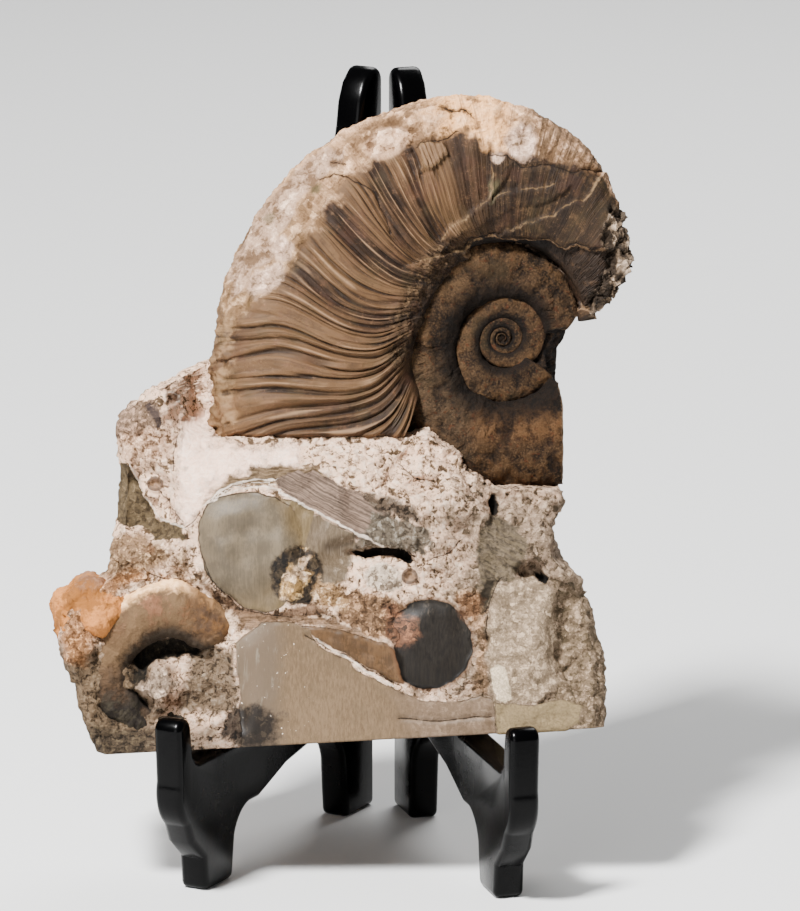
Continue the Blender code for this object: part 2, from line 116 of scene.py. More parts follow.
def seen_at(points):
    """The place on the picture's grid where each point of the stone is seen."""
    u, v, w = columns_of(points)
    nearer = VIEW_DISTANCE / (VIEW_DISTANCE - w) / GRID
    aim_u = (PICTURE[0] / 2 - COIL_AT[0]) * GRID
    aim_v = (COIL_AT[1] - PICTURE[1] / 2) * GRID
    return np.column_stack((PICTURE[0] / 2 + (u - aim_u) * nearer, PICTURE[1] / 2 - (v - aim_v) * nearer))


def from_segments(spots, line, closed):
    """The distance from each spot to a line's nearest stretch, and its side of that stretch."""
    ends = np.array(line, dtype=float)
    starts = ends if closed else ends[:-1]
    stops = np.roll(ends, -1, axis=0) if closed else ends[1:]
    best = np.full(len(spots), 1e9)
    side = np.zeros(len(spots))
    for start, stop in zip(starts, stops):
        along = stop - start
        away = spots - start
        share = np.clip((away @ along) / max(along @ along, 1e-9), 0.0, 1.0)
        gap = away - share[:, None] * along
        distance = np.hypot(gap[:, 0], gap[:, 1])
        nearer = distance < best
        best = np.where(nearer, distance, best)
        side = np.where(nearer, np.sign(along[0] * away[:, 1] - along[1] * away[:, 0]), side)
    return best, side


def inside_outline(spots, outline):
    """Distance to a closed outline in millimetres, less than 0 within it."""
    best, _ = from_segments(spots, outline, True)
    ends = np.array(outline, dtype=float)
    within = np.zeros(len(spots), dtype=bool)
    for start, stop in zip(ends, np.roll(ends, -1, axis=0)):
        crosses = (start[1] > spots[:, 1]) != (stop[1] > spots[:, 1])
        reach = start[0] + (spots[:, 1] - start[1]) * (stop[0] - start[0]) / (stop[1] - start[1] + 1e-12)
        within ^= crosses & (spots[:, 0] < reach)
    return np.where(within, -best, best) * GRID


def inside_oval(spots, middle, half, turn=0.0):
    """About the distance to an oval's edge in millimetres, less than 0 within it."""
    x, y = spots[:, 0] - middle[0], spots[:, 1] - middle[1]
    c, s = math.cos(math.radians(turn)), math.sin(math.radians(turn))
    reach = np.hypot((x * c + y * s) / half[0], (y * c - x * s) / half[1])
    return (reach - 1.0) * min(half) * GRID


def inside_any(spots, shapes):
    """The least distance to any of several shapes: outlines, or (middle, half size, turn) for ovals."""
    best = np.full(len(spots), 50.0)
    for shape in shapes:
        if isinstance(shape[0][0], (int, float)) and len(shape) == 3 and isinstance(shape[2], (int, float)):
            best = np.minimum(best, inside_oval(spots, *shape))
        else:
            best = np.minimum(best, inside_outline(spots, shape))
    return best


def from_lines(spots, lines):
    """For thin lines: the signed and the plain distance to the nearest one, in millimetres."""
    best = np.full(len(spots), 1e9)
    signed = np.full(len(spots), 1e9)
    for line in lines:
        distance, side = from_segments(spots, line, False)
        nearer = distance < best
        signed = np.where(nearer, distance * side, signed)
        best = np.where(nearer, distance, best)
    return signed * GRID, best * GRID


# Meshes

def placed(points):
    """Points of the stone's frame, in millimetres, to metres in the model's frame."""
    u, v, w = columns_of(points)
    x = HINGE.x / MM + COIL_ASIDE + u
    y = HINGE.y / MM - COIL_FORWARD + v * math.sin(LEAN) - w * math.cos(LEAN)
    z = COIL_HEIGHT + v * math.cos(LEAN) + w * math.sin(LEAN)
    return np.column_stack((x, y, z)) * MM


def set_points(mesh, points):
    mesh.vertices.foreach_set("co", np.ascontiguousarray(points, dtype=np.float32).ravel())
    mesh.update()


def get_points(mesh):
    points = np.empty(len(mesh.vertices) * 3, dtype=np.float32)
    mesh.vertices.foreach_get("co", points)
    return points.reshape(-1, 3).astype(float)


def get_normals(mesh):
    normals = np.empty(len(mesh.vertices) * 3, dtype=np.float32)
    mesh.vertex_normals.foreach_get("vector", normals)
    return normals.reshape(-1, 3).astype(float)


def store(mesh, name, values):
    """Keeps one value for each point, for the material to read."""
    made = mesh.attributes.get(name) or mesh.attributes.new(name, "FLOAT", "POINT")
    made.data.foreach_set("value", np.ascontiguousarray(values, dtype=np.float32))


def stored(mesh, name):
    values = np.empty(len(mesh.vertices), dtype=np.float32)
    mesh.attributes[name].data.foreach_get("value", values)
    return values.astype(float)


def new_object(name, mesh, material):
    made = bpy.data.objects.new(name, mesh)
    bpy.context.scene.collection.objects.link(made)
    mesh.materials.clear()
    mesh.materials.append(material)
    return made


def new_mesh(name, points, faces):
    mesh = bpy.data.meshes.new(name)
    mesh.from_pydata([tuple(p) for p in points], [], faces)
    mesh.update()
    mesh.shade_smooth()
    return mesh


def finish_piece(made, body, slot, *nodes):
    """Ties a piece to its body and hides the solids that it stands for. The slot is not used."""
    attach(made, body)
    if nodes:
        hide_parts(*nodes)
    return made


def joined_rings(levels, count):
    """Faces between rings of points of equal length."""
    level, step = np.meshgrid(np.arange(levels - 1), np.arange(count), indexing="ij")
    following = (step + 1) % count
    low = level * count
    quads = np.stack((low + step, low + following, low + count + following, low + count + step), axis=-1)
    return [tuple(int(i) for i in quad) for quad in quads.reshape(-1, 4)]


# Nodes

class Value:
    """A socket, with the operators that add Math nodes to its tree."""

    def __init__(self, nodes, socket):
        self.nodes = nodes
        self.socket = socket

    def math(self, operation, *others):
        return self.nodes.math(operation, self, *others)

    def __neg__(self):
        return self.math("MULTIPLY", -1.0)

    def least(self, other):
        return self.math("MINIMUM", other)

    def most(self, other):
        return self.math("MAXIMUM", other)

    def size(self):
        return self.math("ABSOLUTE")

    def output(self, name):
        return Value(self.nodes, self.socket.node.outputs[name])


for sign, operation in (("add", "ADD"), ("sub", "SUBTRACT"), ("mul", "MULTIPLY"), ("truediv", "DIVIDE"),
                        ("pow", "POWER")):
    setattr(Value, f"__{sign}__", lambda self, other, kind=operation: self.math(kind, other))
    setattr(Value, f"__r{sign}__", lambda self, other, kind=operation: self.nodes.math(kind, other, self))


class Nodes:
    """Adds nodes to a tree, for materials and for geometry alike."""

    def __init__(self, tree):
        self.tree = tree

    def put(self, socket, value):
        if isinstance(value, Value):
            self.tree.links.new(value.socket, socket)
        elif value is not None:
            socket.default_value = value

    def add(self, kind, settings=None, values=None, out=0):
        """A node of a type, its settings first, then the values or links of its sockets."""
        node = self.tree.nodes.new(kind)
        for name, value in (settings or {}).items():
            setattr(node, name, value)
        for key, value in (values or {}).items():
            self.put(node.inputs[key], value)
        return Value(self, node.outputs[out])

    def math(self, operation, *values):
        return self.add("ShaderNodeMath", {"operation": operation}, dict(enumerate(values)))

    def vector(self, operation, first, second=None, scale=None):
        values = {0: first}
        if second is not None:
            values[1] = second
        if scale is not None:
            values["Scale"] = scale
        return self.add("ShaderNodeVectorMath", {"operation": operation}, values)

    def parts(self, vector):
        split = self.add("ShaderNodeSeparateXYZ", None, {0: vector})
        return split.output("X"), split.output("Y"), split.output("Z")

    def join(self, x, y, z):
        return self.add("ShaderNodeCombineXYZ", None, {0: x, 1: y, 2: z})

    def mix(self, factor, first, second, blend="MIX"):
        """Colours mixed by a factor."""
        return self.add("ShaderNodeMix", {"data_type": "RGBA", "blend_type": blend, "clamp_factor": True},
                        {0: factor, 6: first, 7: second}, 2)

    def step(self, value, low, high, floor=0.0, ceiling=1.0):
        """Goes smoothly from floor at low to ceiling at high."""
        return self.add("ShaderNodeMapRange", {"interpolation_type": "SMOOTHSTEP"},
                        {"Value": value, "From Min": low, "From Max": high, "To Min": floor, "To Max": ceiling})

    def noise(self, vector, scale, detail=3.0, rough=0.55, bend=0.0):
        return self.add("ShaderNodeTexNoise", {"noise_dimensions": "3D"},
                        {"Vector": vector, "Scale": scale, "Detail": detail, "Roughness": rough,
                         "Distortion": bend})

    def cells(self, vector, scale, feature="F1"):
        return self.add("ShaderNodeTexVoronoi", {"feature": feature}, {"Vector": vector, "Scale": scale})

    def chips(self, vector, scale):
        """Angular broken faces: the height of each chip's own leaning face, and the chip's own tone."""
        near = self.cells(vector, scale)
        away = self.vector("SUBTRACT", vector, near.output("Position"))
        tone = near.output("Color")
        lean = self.vector("SUBTRACT", tone, (0.5, 0.5, 0.5))
        height = self.add("ShaderNodeVectorMath", {"operation": "DOT_PRODUCT"}, {0: away, 1: lean}, "Value")
        return height, self.parts(tone)[0]

    def curve(self, value, points):
        """Reads a line given as (position, value) pairs."""
        low, high = points[0][0], points[-1][0]
        floor = min(p[1] for p in points)
        span = (max(p[1] for p in points) - floor) or 1.0
        read = self.add("ShaderNodeFloatCurve", None, {"Value": (value - low) / (high - low)})
        mapping = read.socket.node.mapping
        mapping.extend = "HORIZONTAL"
        line = mapping.curves[0]
        while len(line.points) < len(points):
            line.points.new(0.5, 0.5)
        for knot, (place, height) in zip(line.points, points):
            knot.location = ((place - low) / (high - low), (height - floor) / span)
            knot.handle_type = "VECTOR"
        mapping.update()
        return read * span + floor

    def attribute(self, name):
        return self.add("ShaderNodeAttribute", {"attribute_name": name}, None, "Fac")


# What the studio's light makes of a surface: (brightness seen, brightness of the paint), and
# (brightness seen, how much deeper the paint's colour has to be)
PAINT_FOR = ((0.0, 0.0), (0.03, 0.007), (0.108, 0.037), (0.2, 0.068), (0.25, 0.084), (0.3, 0.1),
             (0.345, 0.119), (0.39, 0.149), (0.423, 0.186), (0.5, 0.3), (0.565, 0.44), (0.65, 0.67),
             (0.72, 0.82), (1.0, 0.98))
DEPTH_FOR = ((0.0, 1.1), (0.12, 1.3), (0.3, 1.6), (0.6, 2.2), (0.8, 3.0))


def plain(code):
    """A colour from its six-figure code, in linear parts."""
    parts = [int(code[i:i + 2], 16) / 255.0 for i in (0, 2, 4)]
    return tuple((p / 12.92 if p <= 0.04045 else ((p + 0.055) / 1.055) ** 2.4) for p in parts)


def paint(seen):
    """The paint that looks like this linear colour in the studio's light."""
    bright = max(sum(seen[:3]) / 3.0, 1e-4)
    target = float(between(bright, PAINT_FOR))
    depth = float(between(bright, DEPTH_FOR))
    parts = [(max(part, 1e-4) / bright) ** depth for part in seen[:3]]
    level = min(3.0 * target / sum(parts), 0.97 / max(parts))
    return tuple(level * part for part in parts) + (1.0,)


def colour(code):
    return paint(plain(code))


class Finish(Nodes):
    """A material with a Principled shader, ready to be wired."""

    def __init__(self, name):
        self.material = bpy.data.materials.new(name)
        self.material.use_nodes = True
        super().__init__(self.material.node_tree)
        self.shader = self.tree.nodes["Principled BSDF"]
        place = self.add("ShaderNodeTexCoord", None, None, "Object")
        self.at = self.vector("SCALE", place, scale=1.0 / MM)

    def close(self, base, roughness, height=None, **constants):
        """Wires the colour, the roughness and the bump height in millimetres."""
        self.put(self.shader.inputs["Base Color"], base)
        self.put(self.shader.inputs["Roughness"], roughness)
        for name, value in constants.items():
            self.shader.inputs[name.replace("_", " ")].default_value = value
        if height is not None:
            bump = self.add("ShaderNodeBump", None, {"Height": height, "Strength": 1.0, "Distance": MM}, "Normal")
            self.put(self.shader.inputs["Normal"], bump)
        return self.material


# Settings

def length(name, description, default):
    return FloatProperty(name=name, description=description, default=default * MM, unit="LENGTH",
                         subtype="DISTANCE")


def tint(name, description, code):
    return FloatVectorProperty(name=name, description=description, default=plain(code), subtype="COLOR",
                               size=3, min=0.0, max=1.0)


class ShellSettings(bpy.types.PropertyGroup):
    """Sizes and colours of the large shell"""
    rim: length("Rim", "Outer radius near the end that the rock covers", 47.6)
    plane: length("Plane", "Distance of the shell's middle plane behind the rock's face", 13.8)
    fine_rib: length("Fine ribs", "Height of the close ribs", 0.26)
    pitting: length("Pitting", "Depth of the worn outer edge", 0.5)
    flank: tint("Flank", "Colour of the ribbed side", "785e43")
    # The grooves' colour is painted shade between the ribs.
    groove: tint("Grooves", "Colour between the ribs", "2c1b0f")


class RockSettings(bpy.types.PropertyGroup):
    """Sizes and colours of the rock"""
    relief: length("Relief", "Height of the broken rock's relief", 0.9)
    cream: tint("Rock", "Colour of the broken rock", "e9d9cb")
    # Painted into the rock's crevices as shade.
    shade: tint("Rock, darker", "Colour of the rock's darker parts", "b7a28b")
    lump: tint("Lump", "Colour of the orange lump", "c79862")


class EaselSettings(bpy.types.PropertyGroup):
    """Finish of the easel"""
    black: tint("Plastic", "Colour of the moulded plastic", "030304")
    polish: FloatProperty(name="Roughness", description="Roughness of the moulded plastic", default=0.2,
                          min=0.0, max=1.0, subtype="FACTOR")
    rounding: length("Rounding", "Radius of the leaves' edges", 1.1)


class StageSettings(bpy.types.PropertyGroup):
    """Floor and light"""
    floor: tint("Floor", "Colour of the floor", "d9d9d8")
    light: FloatProperty(name="Light", description="Strength of the studio lights", default=1.0, min=0.0,
                         subtype="FACTOR", soft_max=4.0)


# The rock

LEFT_EDGE = ((-67.5, -65.9), (-62.5, -68.3), (-57.9, -69.4), (-53.4, -71.0), (-48.9, -72.2),
             (-44.4, -70.7), (-41.0, -67.0), (-37.6, -64.2), (-33.1, -63.4), (-19.5, -62.8),
             (-15.0, -62.1), (-12.8, -61.3), (-10.5, -59.9), (-8.2, -57.3), (-6.0, -53.4),
             (-3.7, -49.4), (-1.5, -44.0), (5.0, -37.0), (14.0, -33.5), (22.0, -27.0),
             (28.0, -19.0), (32.0, -9.0))
RIGHT_EDGE = ((-67.5, 16.5), (-53.4, 16.5), (-48.9, 15.8), (-44.4, 14.7), (-39.9, 12.8),
              (-35.3, 9.7), (-30.8, 7.9), (-26.3, 10.0), (-24.0, 9.4), (-6.0, 8.8),
              (-1.5, 9.2), (3.1, 11.6), (6.0, 17.0), (14.0, 18.0), (22.0, 15.0),
              (28.0, 9.0), (32.0, 4.0))
SHELF = ((-80.0, -16.4), (-46.6, -16.4), (-12.0, -15.8), (-6.8, -19.6),
         (-6.0, -21.5), (-1.8, -24.6), (20.0, -24.6))
FACE_FORMS = ((-57.0, -14.0, 4.0, 3.4, 0.9), (-58.0, -27.0, 6.0, 7.5, -3.6),
              (-55.0, -44.0, 17.0, 9.0, -2.6), (-55.0, -57.0, 14.5, 12.5, -3.6),
              (-56.0, -57.0, 5.0, 5.0, 2.2), (-60.5, -59.5, 5.0, 2.6, -2.6),
              (-40.0, -34.5, 8.5, 10.0, 0.8), (-24.0, -35.0, 5.5, 3.0, -2.0),
              (-20.5, -35.2, 6.0, 1.6, -1.8), (-13.0, -22.0, 8.0, 5.0, -2.6),
              (-5.0, -33.0, 7.0, 5.5, -1.8), (4.5, -37.8, 2.6, 2.0, -2.6),
              (2.5, -29.0, 6.0, 4.5, -2.4), (-11.5, -49.5, 6.5, 7.2, 0.5),
              (12.5, -50.0, 6.0, 12.0, -3.0), (-35.0, -40.0, 4.6, 4.6, -0.6),
              (0.0, -52.0, 7.5, 9.0, 0.6), (-50.0, -63.0, 9.0, 7.0, -1.6))
BLOCK_DEPTH = 22.0
BASE_RISE = 0.054
BASE_FALL = 0.22
SIDE_INSET = 2.0

# Shapes seen on the rock's face, on the picture's grid
POLISHED_OVAL = ((198, 536), (200, 520), (207, 505), (219, 497), (237, 493), (258, 493), (275, 497),
                 (290, 506), (300, 520), (303, 538), (300, 556), (297, 576), (292, 594), (284, 605),
                 (272, 611), (262, 612), (243, 608), (224, 594), (213, 582), (205, 570), (200, 555))
# Brushed polish right of the oval, painted with a sheen.
BRUSHED_SHEEN = ((303, 512), (320, 516), (340, 527), (356, 534), (352, 556), (345, 580), (330, 590),
           (316, 582), (306, 560), (300, 540))
FIBROUS = ((284, 497), (278, 485), (284, 474), (300, 469), (330, 478), (352, 492), (368, 500),
           (396, 520), (404, 545), (388, 553), (372, 548), (356, 535), (330, 520), (300, 503))
BROWN_TOP = ((203, 505), (210, 492), (228, 480), (247, 472), (250, 466), (285, 463), (313, 468), (332, 478),
             (310, 484), (285, 484), (262, 484), (240, 486), (224, 493), (212, 503))
DARK_PATCH = ((350, 489), (366, 494), (395, 496), (412, 505), (424, 517), (410, 520), (394, 517), (372, 508))
CHIPS = ((370, 512), (394, 517), (412, 521), (430, 530), (434, 545), (418, 556), (400, 552), (372, 548),
         (352, 556), (350, 540), (368, 530))
CRYSTAL = ((297, 576), (28, 30), 0.0)
CRYSTAL_HEART = (((291, 584), (9, 19), 12.0), ((303, 562), (6, 13), 15.0), ((300, 576), (9, 7), 0.0))
CRYSTAL_CLUMP = ((327, 592), (17, 13), 20.0)
CRYSTAL_TAIL = ((336, 600), (12, 9), 40.0)
BAND = ((236, 642), (250, 630), (262, 622), (290, 622), (310, 630), (318, 646), (333, 653), (348, 661),
        (356, 670), (371, 677), (400, 692), (425, 702), (455, 702), (480, 696), (494, 700), (498, 760),
        (400, 760), (290, 762), (238, 762), (242, 735), (240, 700))
PINK_LAYER = ((236, 612), (262, 614), (300, 616), (340, 620), (372, 636), (388, 642), (350, 636), (320, 628),
              (290, 624), (255, 626), (240, 632))
LAYERED = ((300, 626), (330, 628), (355, 634), (388, 644), (400, 655), (405, 684), (394, 682), (371, 669),
           (356, 663), (348, 656), (333, 648), (316, 638))
DARK_OVAL = ((398, 612), (412, 602), (432, 599), (450, 604), (463, 616), (471, 634), (473, 652), (466, 670),
             (452, 683), (436, 689), (418, 688), (403, 680), (398, 665), (394, 648), (400, 636), (392, 622))
RUSTY_BAND = ((196, 572), (206, 578), (218, 594), (236, 606), (262, 612), (290, 608), (312, 600), (326, 606),
              (330, 616), (300, 617), (270, 620), (240, 618), (222, 610), (206, 590))
CRUMBS = ((338, 602), (352, 590), (375, 592), (400, 600), (412, 600), (396, 616), (396, 640), (384, 642),
          (362, 632), (345, 622), (334, 612))
OLIVE_STRIP = ((278, 498), (300, 503), (314, 511), (310, 530), (304, 548), (300, 540), (301, 526), (292, 508))
ORANGE_EDGE = ((381, 604), (396, 604), (408, 614), (420, 634), (414, 646), (400, 646), (390, 645), (384, 630))
RIGHT_RIM = ((452, 590), (482, 588), (488, 610), (486, 640), (488, 694), (470, 696), (476, 660), (476, 632),
             (464, 612))
CAST = ((488, 606), (497, 587), (515, 580), (540, 579), (552, 592), (556, 620), (556, 650), (560, 686),
        (540, 700), (510, 706), (492, 702), (486, 650))
YELLOW_FACET = ((494, 703), (530, 706), (560, 700), (582, 706), (579, 722), (560, 736), (498, 736))
WHITE_BAR = ((490, 668), (497, 664), (504, 668), (510, 688), (511, 700), (505, 703), (497, 700), (492, 684))
GREY_CHIP = ((480, 530), (492, 512), (504, 517), (520, 530), (529, 545), (522, 565), (514, 579), (500, 582),
             (484, 612), (480, 590), (476, 560))
DARK_WEDGE = ((500, 581), (492, 590), (484, 612), (480, 594), (486, 580))
LUMP_STAIN = ((60, 640), (70, 612), (90, 590), (112, 576), (140, 568), (150, 578), (120, 590), (100, 612),
              (92, 640), (84, 664), (66, 660))
LEFT_FACET = ((95, 463), (131, 465), (138, 478), (146, 500), (162, 519), (183, 528), (182, 543), (160, 540),
              (140, 528), (115, 521), (95, 521))
OLIVE_LUMP = ((95, 535), (115, 538), (140, 532), (160, 545), (172, 560), (150, 572), (110, 576), (95, 576))
LEFT_LUMP = ((120, 412), (134, 402), (150, 402), (160, 414), (160, 430), (148, 424), (136, 432), (122, 436),
             (112, 440))
LUMP_ARC = ((148, 402), (158, 410), (163, 425), (158, 429), (152, 416), (144, 406))
SPECKLED = ((142, 442), (26, 22), 0.0)
# The slot, the pit and the cavity are sunk into the face and painted dark as shadow.
SLOT = ((492, 493), (497, 496), (501, 505), (498, 515), (492, 513), (491, 503))
PIT = ((534, 571), (547, 575), (546, 584), (538, 580))
CAVITY = ((351, 553), (365, 549), (385, 549), (403, 550), (413, 558), (411, 563), (400, 557), (380, 556),
          (362, 557))
CHALKY = ((384, 578), (18, 12), 10.0)
RINGS = (((156.5, 483), (8, 8), 0.0), ((409.6, 576), (8, 8), 0.0))
# A hollow under the small shell, sunk and painted near black as its shadow.
LOW_SHADED_HOLLOW = ((128, 711), (25, 10), -8.0)
LOW_DARK = ((224, 716), (240, 707), (262, 706), (278, 714), (274, 745), (232, 748), (222, 735))
# The hollow inside the small shell's coil, sunk and painted dark as shadow.
SHADED_CRESCENT = ((135, 648), (150, 638), (172, 636), (198, 638), (206, 648), (196, 658), (174, 656), (152, 662),
            (142, 680), (134, 690), (130, 670))
BULGE = ((157, 686), (17, 13), 0.0)
SHADY = ((190, 652), (215, 645), (236, 652), (240, 712), (200, 716), (178, 704), (186, 680))
WHITE_CORNER = ((206, 640), (214, 612), (238, 612), (238, 632), (224, 642))
SMOOTH_WHITE = ((180, 425), (205, 412), (216, 444), (262, 447), (300, 446), (300, 466), (262, 464), (238, 474),
                (212, 488), (196, 520), (184, 528), (176, 505), (178, 466))
RUST = (((172, 397), (8, 6), 0.0), ((172, 700), (10, 6), 0.0), ((549, 453), (5, 8), 0.0),
        ((470, 606), (13, 14), 20.0), ((172, 510), (13, 3), 60.0), ((150, 548), (10, 4), -40.0))
FACE_CRACKS = (((307, 636), (327, 648), (342, 654), (353, 661), (365, 667), (379, 675), (400, 686)),
               ((178, 436), (173, 456), (173, 470)), ((209, 582), (239, 609), (260, 613), (291, 617)),
               ((500, 579), (484, 612)), ((200, 555), (213, 582), (224, 594)),
               ((488, 606), (486, 640)), ((184, 529), (195, 520), (200, 512)),
               ((364, 552), (390, 549), (414, 556)), ((160, 490), (172, 508), (182, 522)),
               ((400, 718), (440, 721), (492, 716)), ((210, 640), (232, 640)), ((150, 574), (188, 588)),
               ((400, 462), (415, 478), (432, 482)), ((430, 560), (450, 552), (462, 540)))
BRIGHT_LINES = (((279.7, 493.4), (300, 503), (330, 519), (359, 534)), ((359, 534), (394, 551)),
                ((207, 502), (219, 491), (235, 484), (255, 479), (275, 480)),
                ((205, 505), (222, 495), (240, 489), (262, 486), (280, 490)),
                ((131, 465), (138, 478), (146, 500), (162, 519), (183, 528)),
                ((172, 393), (178, 395), (178, 403)), ((318, 640), (342, 656), (365, 670), (392, 685)))
ROCK_REGIONS = {
    "spots": {"oval": (POLISHED_OVAL,), "brushed_sheen": (BRUSHED_SHEEN,), "crystal": (CRYSTAL,), "band": (BAND,),
        "layered": (LAYERED,), "dark_oval": (DARK_OVAL,), "yellow": (YELLOW_FACET,),
        "white_bar": (WHITE_BAR,), "wedge": (DARK_WEDGE,), "lump_arc": (LUMP_ARC,),
        "pits": (SLOT, PIT, CAVITY), "olive_strip": (OLIVE_STRIP,)},
    "loose": {"fibrous": (FIBROUS,), "brown_top": (BROWN_TOP,), "dark_patch": (DARK_PATCH,),
        "chips": (CHIPS,), "heart": CRYSTAL_HEART, "clump": (CRYSTAL_CLUMP, CRYSTAL_TAIL),
        "chalky": (CHALKY,), "pink_layer": (PINK_LAYER,), "rusty": (RUSTY_BAND,), "crumbs": (CRUMBS,),
        "orange_edge": (ORANGE_EDGE,), "right_rim": (RIGHT_RIM,), "cast": (CAST,), "grey_chip": (GREY_CHIP,),
        "left_facet": (LEFT_FACET,), "olive_lump": (OLIVE_LUMP,), "left_lump": (LEFT_LUMP,),
        "speckled": (SPECKLED,), "shaded_hollow": (LOW_SHADED_HOLLOW,), "dark_low": (LOW_DARK,), "shaded_crescent": (SHADED_CRESCENT,),
        "bulge": (BULGE,), "shady": (SHADY,), "white_corner": (WHITE_CORNER,),
        "smooth_white": (SMOOTH_WHITE,), "rust": RUST, "orange": (LUMP_STAIN,)},
    "seen": {"rings": RINGS, "core": (((512, 370), (72, 108), 0.0),)},
}


def rough_at(u, v, w, size, seed):
    u, v = np.broadcast_arrays(u, v)
    return coherent(np.column_stack((u.ravel(), v.ravel(), np.full(u.size, w))), size, seed).reshape(u.shape)


def leaf_edge(height):
    """How far the easel's uprights reach from the hinge at a height above the table."""
    return 35.5 - 27.1 * np.clip((height - 22.7) / 93.8, 0.0, 1.0)


def clear_of_leaves(points, room=1.2):
    """Brings points at the back forward, out of the space that the leaves turn in."""
    u, v, w = columns_of(points.copy())
    for _ in range(3):
        height = COIL_HEIGHT + v * math.cos(LEAN) + w * math.sin(LEAN)
        reach = leaf_edge(height) + room
        aside = u + COIL_ASIDE
        within = (height < 126.5) & (np.abs(aside) < reach)
        forward = np.sqrt(np.maximum(reach * reach - aside * aside, 0.0))
        limit = (forward - COIL_FORWARD + v * math.sin(LEAN)) / math.cos(LEAN)
        w = np.where(within, np.maximum(w, limit), w)
    return np.column_stack((u, v, w))


def face_height(u, v):
    """w of the rock's front face, in its large forms."""
    shelf = between(u, SHELF)
    inward = ease(u, -56.0, -47.5)
    height = -5.2 * ease(v, shelf - 6.5, shelf) * inward
    ledge = np.where(u > -46.6, ease(v, shelf - 0.2, shelf + 1.4), ease(v, shelf - 1.0, shelf + 4.0))
    height = height - 9.0 * ledge * inward
    height = height - 6.0 * ease(-u, 45.0, 64.0) * ease(v, -46.0, -30.0)
    corner = v + 0.9 * (u + 60.0)
    height = height - 3.5 * ease(corner, -9.0, 3.0) * ease(-u, 45.0, 50.0)
    for mid_u, mid_v, half_u, half_v, out in FACE_FORMS:
        away = np.hypot((u - mid_u) / half_u, (v - mid_v) / half_v)
        height = height + out * (1.0 - ease(away, 0.45, 1.15))
    polished = ease(u, -46.0, -42.0) * ease(-u, 2.0, 6.0) * ease(-v, 43.0, 46.0)
    bare = (1.0 - polished) * (1.0 - ease(v, shelf - 1.0, shelf + 1.0))
    return height + bare * (0.8 * rough_at(u, v, 0.0, 6.5, 3.1) + 0.6 * rough_at(u, v, 0.0, 3.2, 7.7))


def back_height(u, v):
    """w of the rock's back face."""
    height = -23.6 - 2.2 * ease(-u, 34.0, 50.0) + 1.6 * rough_at(u, v, 9.0, 11.0, 5.3)
    return height + 0.8 * rough_at(u, v, 4.0, 5.0, 1.9)


def base_offset(u, depth, row):
    share = 1.0 - ease(row, -67.5, -51.5)
    rise = np.maximum(BASE_RISE * (u + 65.9) - BASE_FALL * depth, 0.0)
    return share * (depth * math.tan(LEAN) + rise)


def rock_rows():
    return np.concatenate((np.arange(-67.5, -4.0, 0.34), np.linspace(-4.0, 32.0, 46)))


FRONT_COUNT = 228
BACK_COUNT = FRONT_COUNT // 2
SIDE_COUNT = 13


def rock_grid():
    """The rings of the rock from its base up, each of them front, right side, back and left side."""
    rows = rock_rows()[:, None]
    left = between(rows, LEFT_EDGE)
    right = between(rows, RIGHT_EDGE)
    share = np.linspace(0.0, 1.0, FRONT_COUNT + 1)[None, :]
    front_u = left + SIDE_INSET + (right - left - 2 * SIDE_INSET) * share
    grown = np.clip((rows - rows[0]) / 3.2, 0.0, 1.0)
    front_w = face_height(front_u, np.broadcast_to(rows, front_u.shape)) * grown
    share = np.linspace(0.0, 1.0, BACK_COUNT + 1)[None, :]
    back_u = left + 2.5 * SIDE_INSET + (right - left - 4.5 * SIDE_INSET) * share
    raised = np.broadcast_to(rows + base_offset(0.0, BLOCK_DEPTH, rows), back_u.shape)
    back_w = back_height(back_u, raised)
    rough = 0.9 * rough_at(np.zeros_like(rows), rows, 0.0, 7.0, 2.2)

    def side(edge, outward, first, last):
        corners_u = np.hstack((edge - outward * SIDE_INSET, edge, edge - outward * (0.8 + rough),
                               edge - outward * 2.3 * SIDE_INSET))
        corners_w = np.hstack((first, first - 3.0 + rough, last + 5.5, last))
        stops = np.linspace(0.0, 3.0, SIDE_COUNT + 2)[1:-1]
        u = np.array([np.interp(stops, range(4), row) for row in corners_u])
        w = np.array([np.interp(stops, range(4), row) for row in corners_w])
        return u, w

    right_u, right_w = side(right, 1.0, front_w[:, -1:], back_w[:, -1:])
    left_u, left_w = side(left, -1.0, front_w[:, :1], back_w[:, :1])
    u = np.hstack((front_u, right_u, back_u[:, ::-1], left_u[:, ::-1]))
    w = np.hstack((front_w, right_w, back_w[:, ::-1], left_w[:, ::-1]))
    row = np.broadcast_to(rows, u.shape)
    v = row + base_offset(u, -w, row)
    return np.stack((u, v, w), axis=-1), row


def rock_faces(levels, ring):
    """Closes the rings, with the sloping front strip and the flat base below and a cap on top."""
    faces = joined_rings(levels, ring)
    middle = levels * ring
    back_first = FRONT_COUNT + 1 + SIDE_COUNT

    def back(column):
        return back_first + BACK_COUNT - column

    top = (levels - 1) * ring
    for column in range(FRONT_COUNT):
        faces.append((column, middle + column, middle + column + 1, column + 1))
    for column in range(BACK_COUNT):
        near = middle + 2 * column
        faces.append((near, back(column), back(column + 1), near + 2, near + 1))
        near = top + 2 * column
        faces.append((near, near + 1, near + 2, top + back(column + 1), top + back(column)))
    left_side = [ring - 1 - step for step in range(SIDE_COUNT)]
    right_side = [FRONT_COUNT + 1 + step for step in range(SIDE_COUNT)]
    faces.append((0, *left_side, back(0), middle))
    faces.append((FRONT_COUNT, middle + FRONT_COUNT, back(BACK_COUNT), *right_side[::-1]))
    faces.append((top, top + back(0), *[top + step for step in left_side[::-1]]))
    faces.append((top + FRONT_COUNT, *[top + step for step in right_side], top + back(BACK_COUNT)))
    return faces


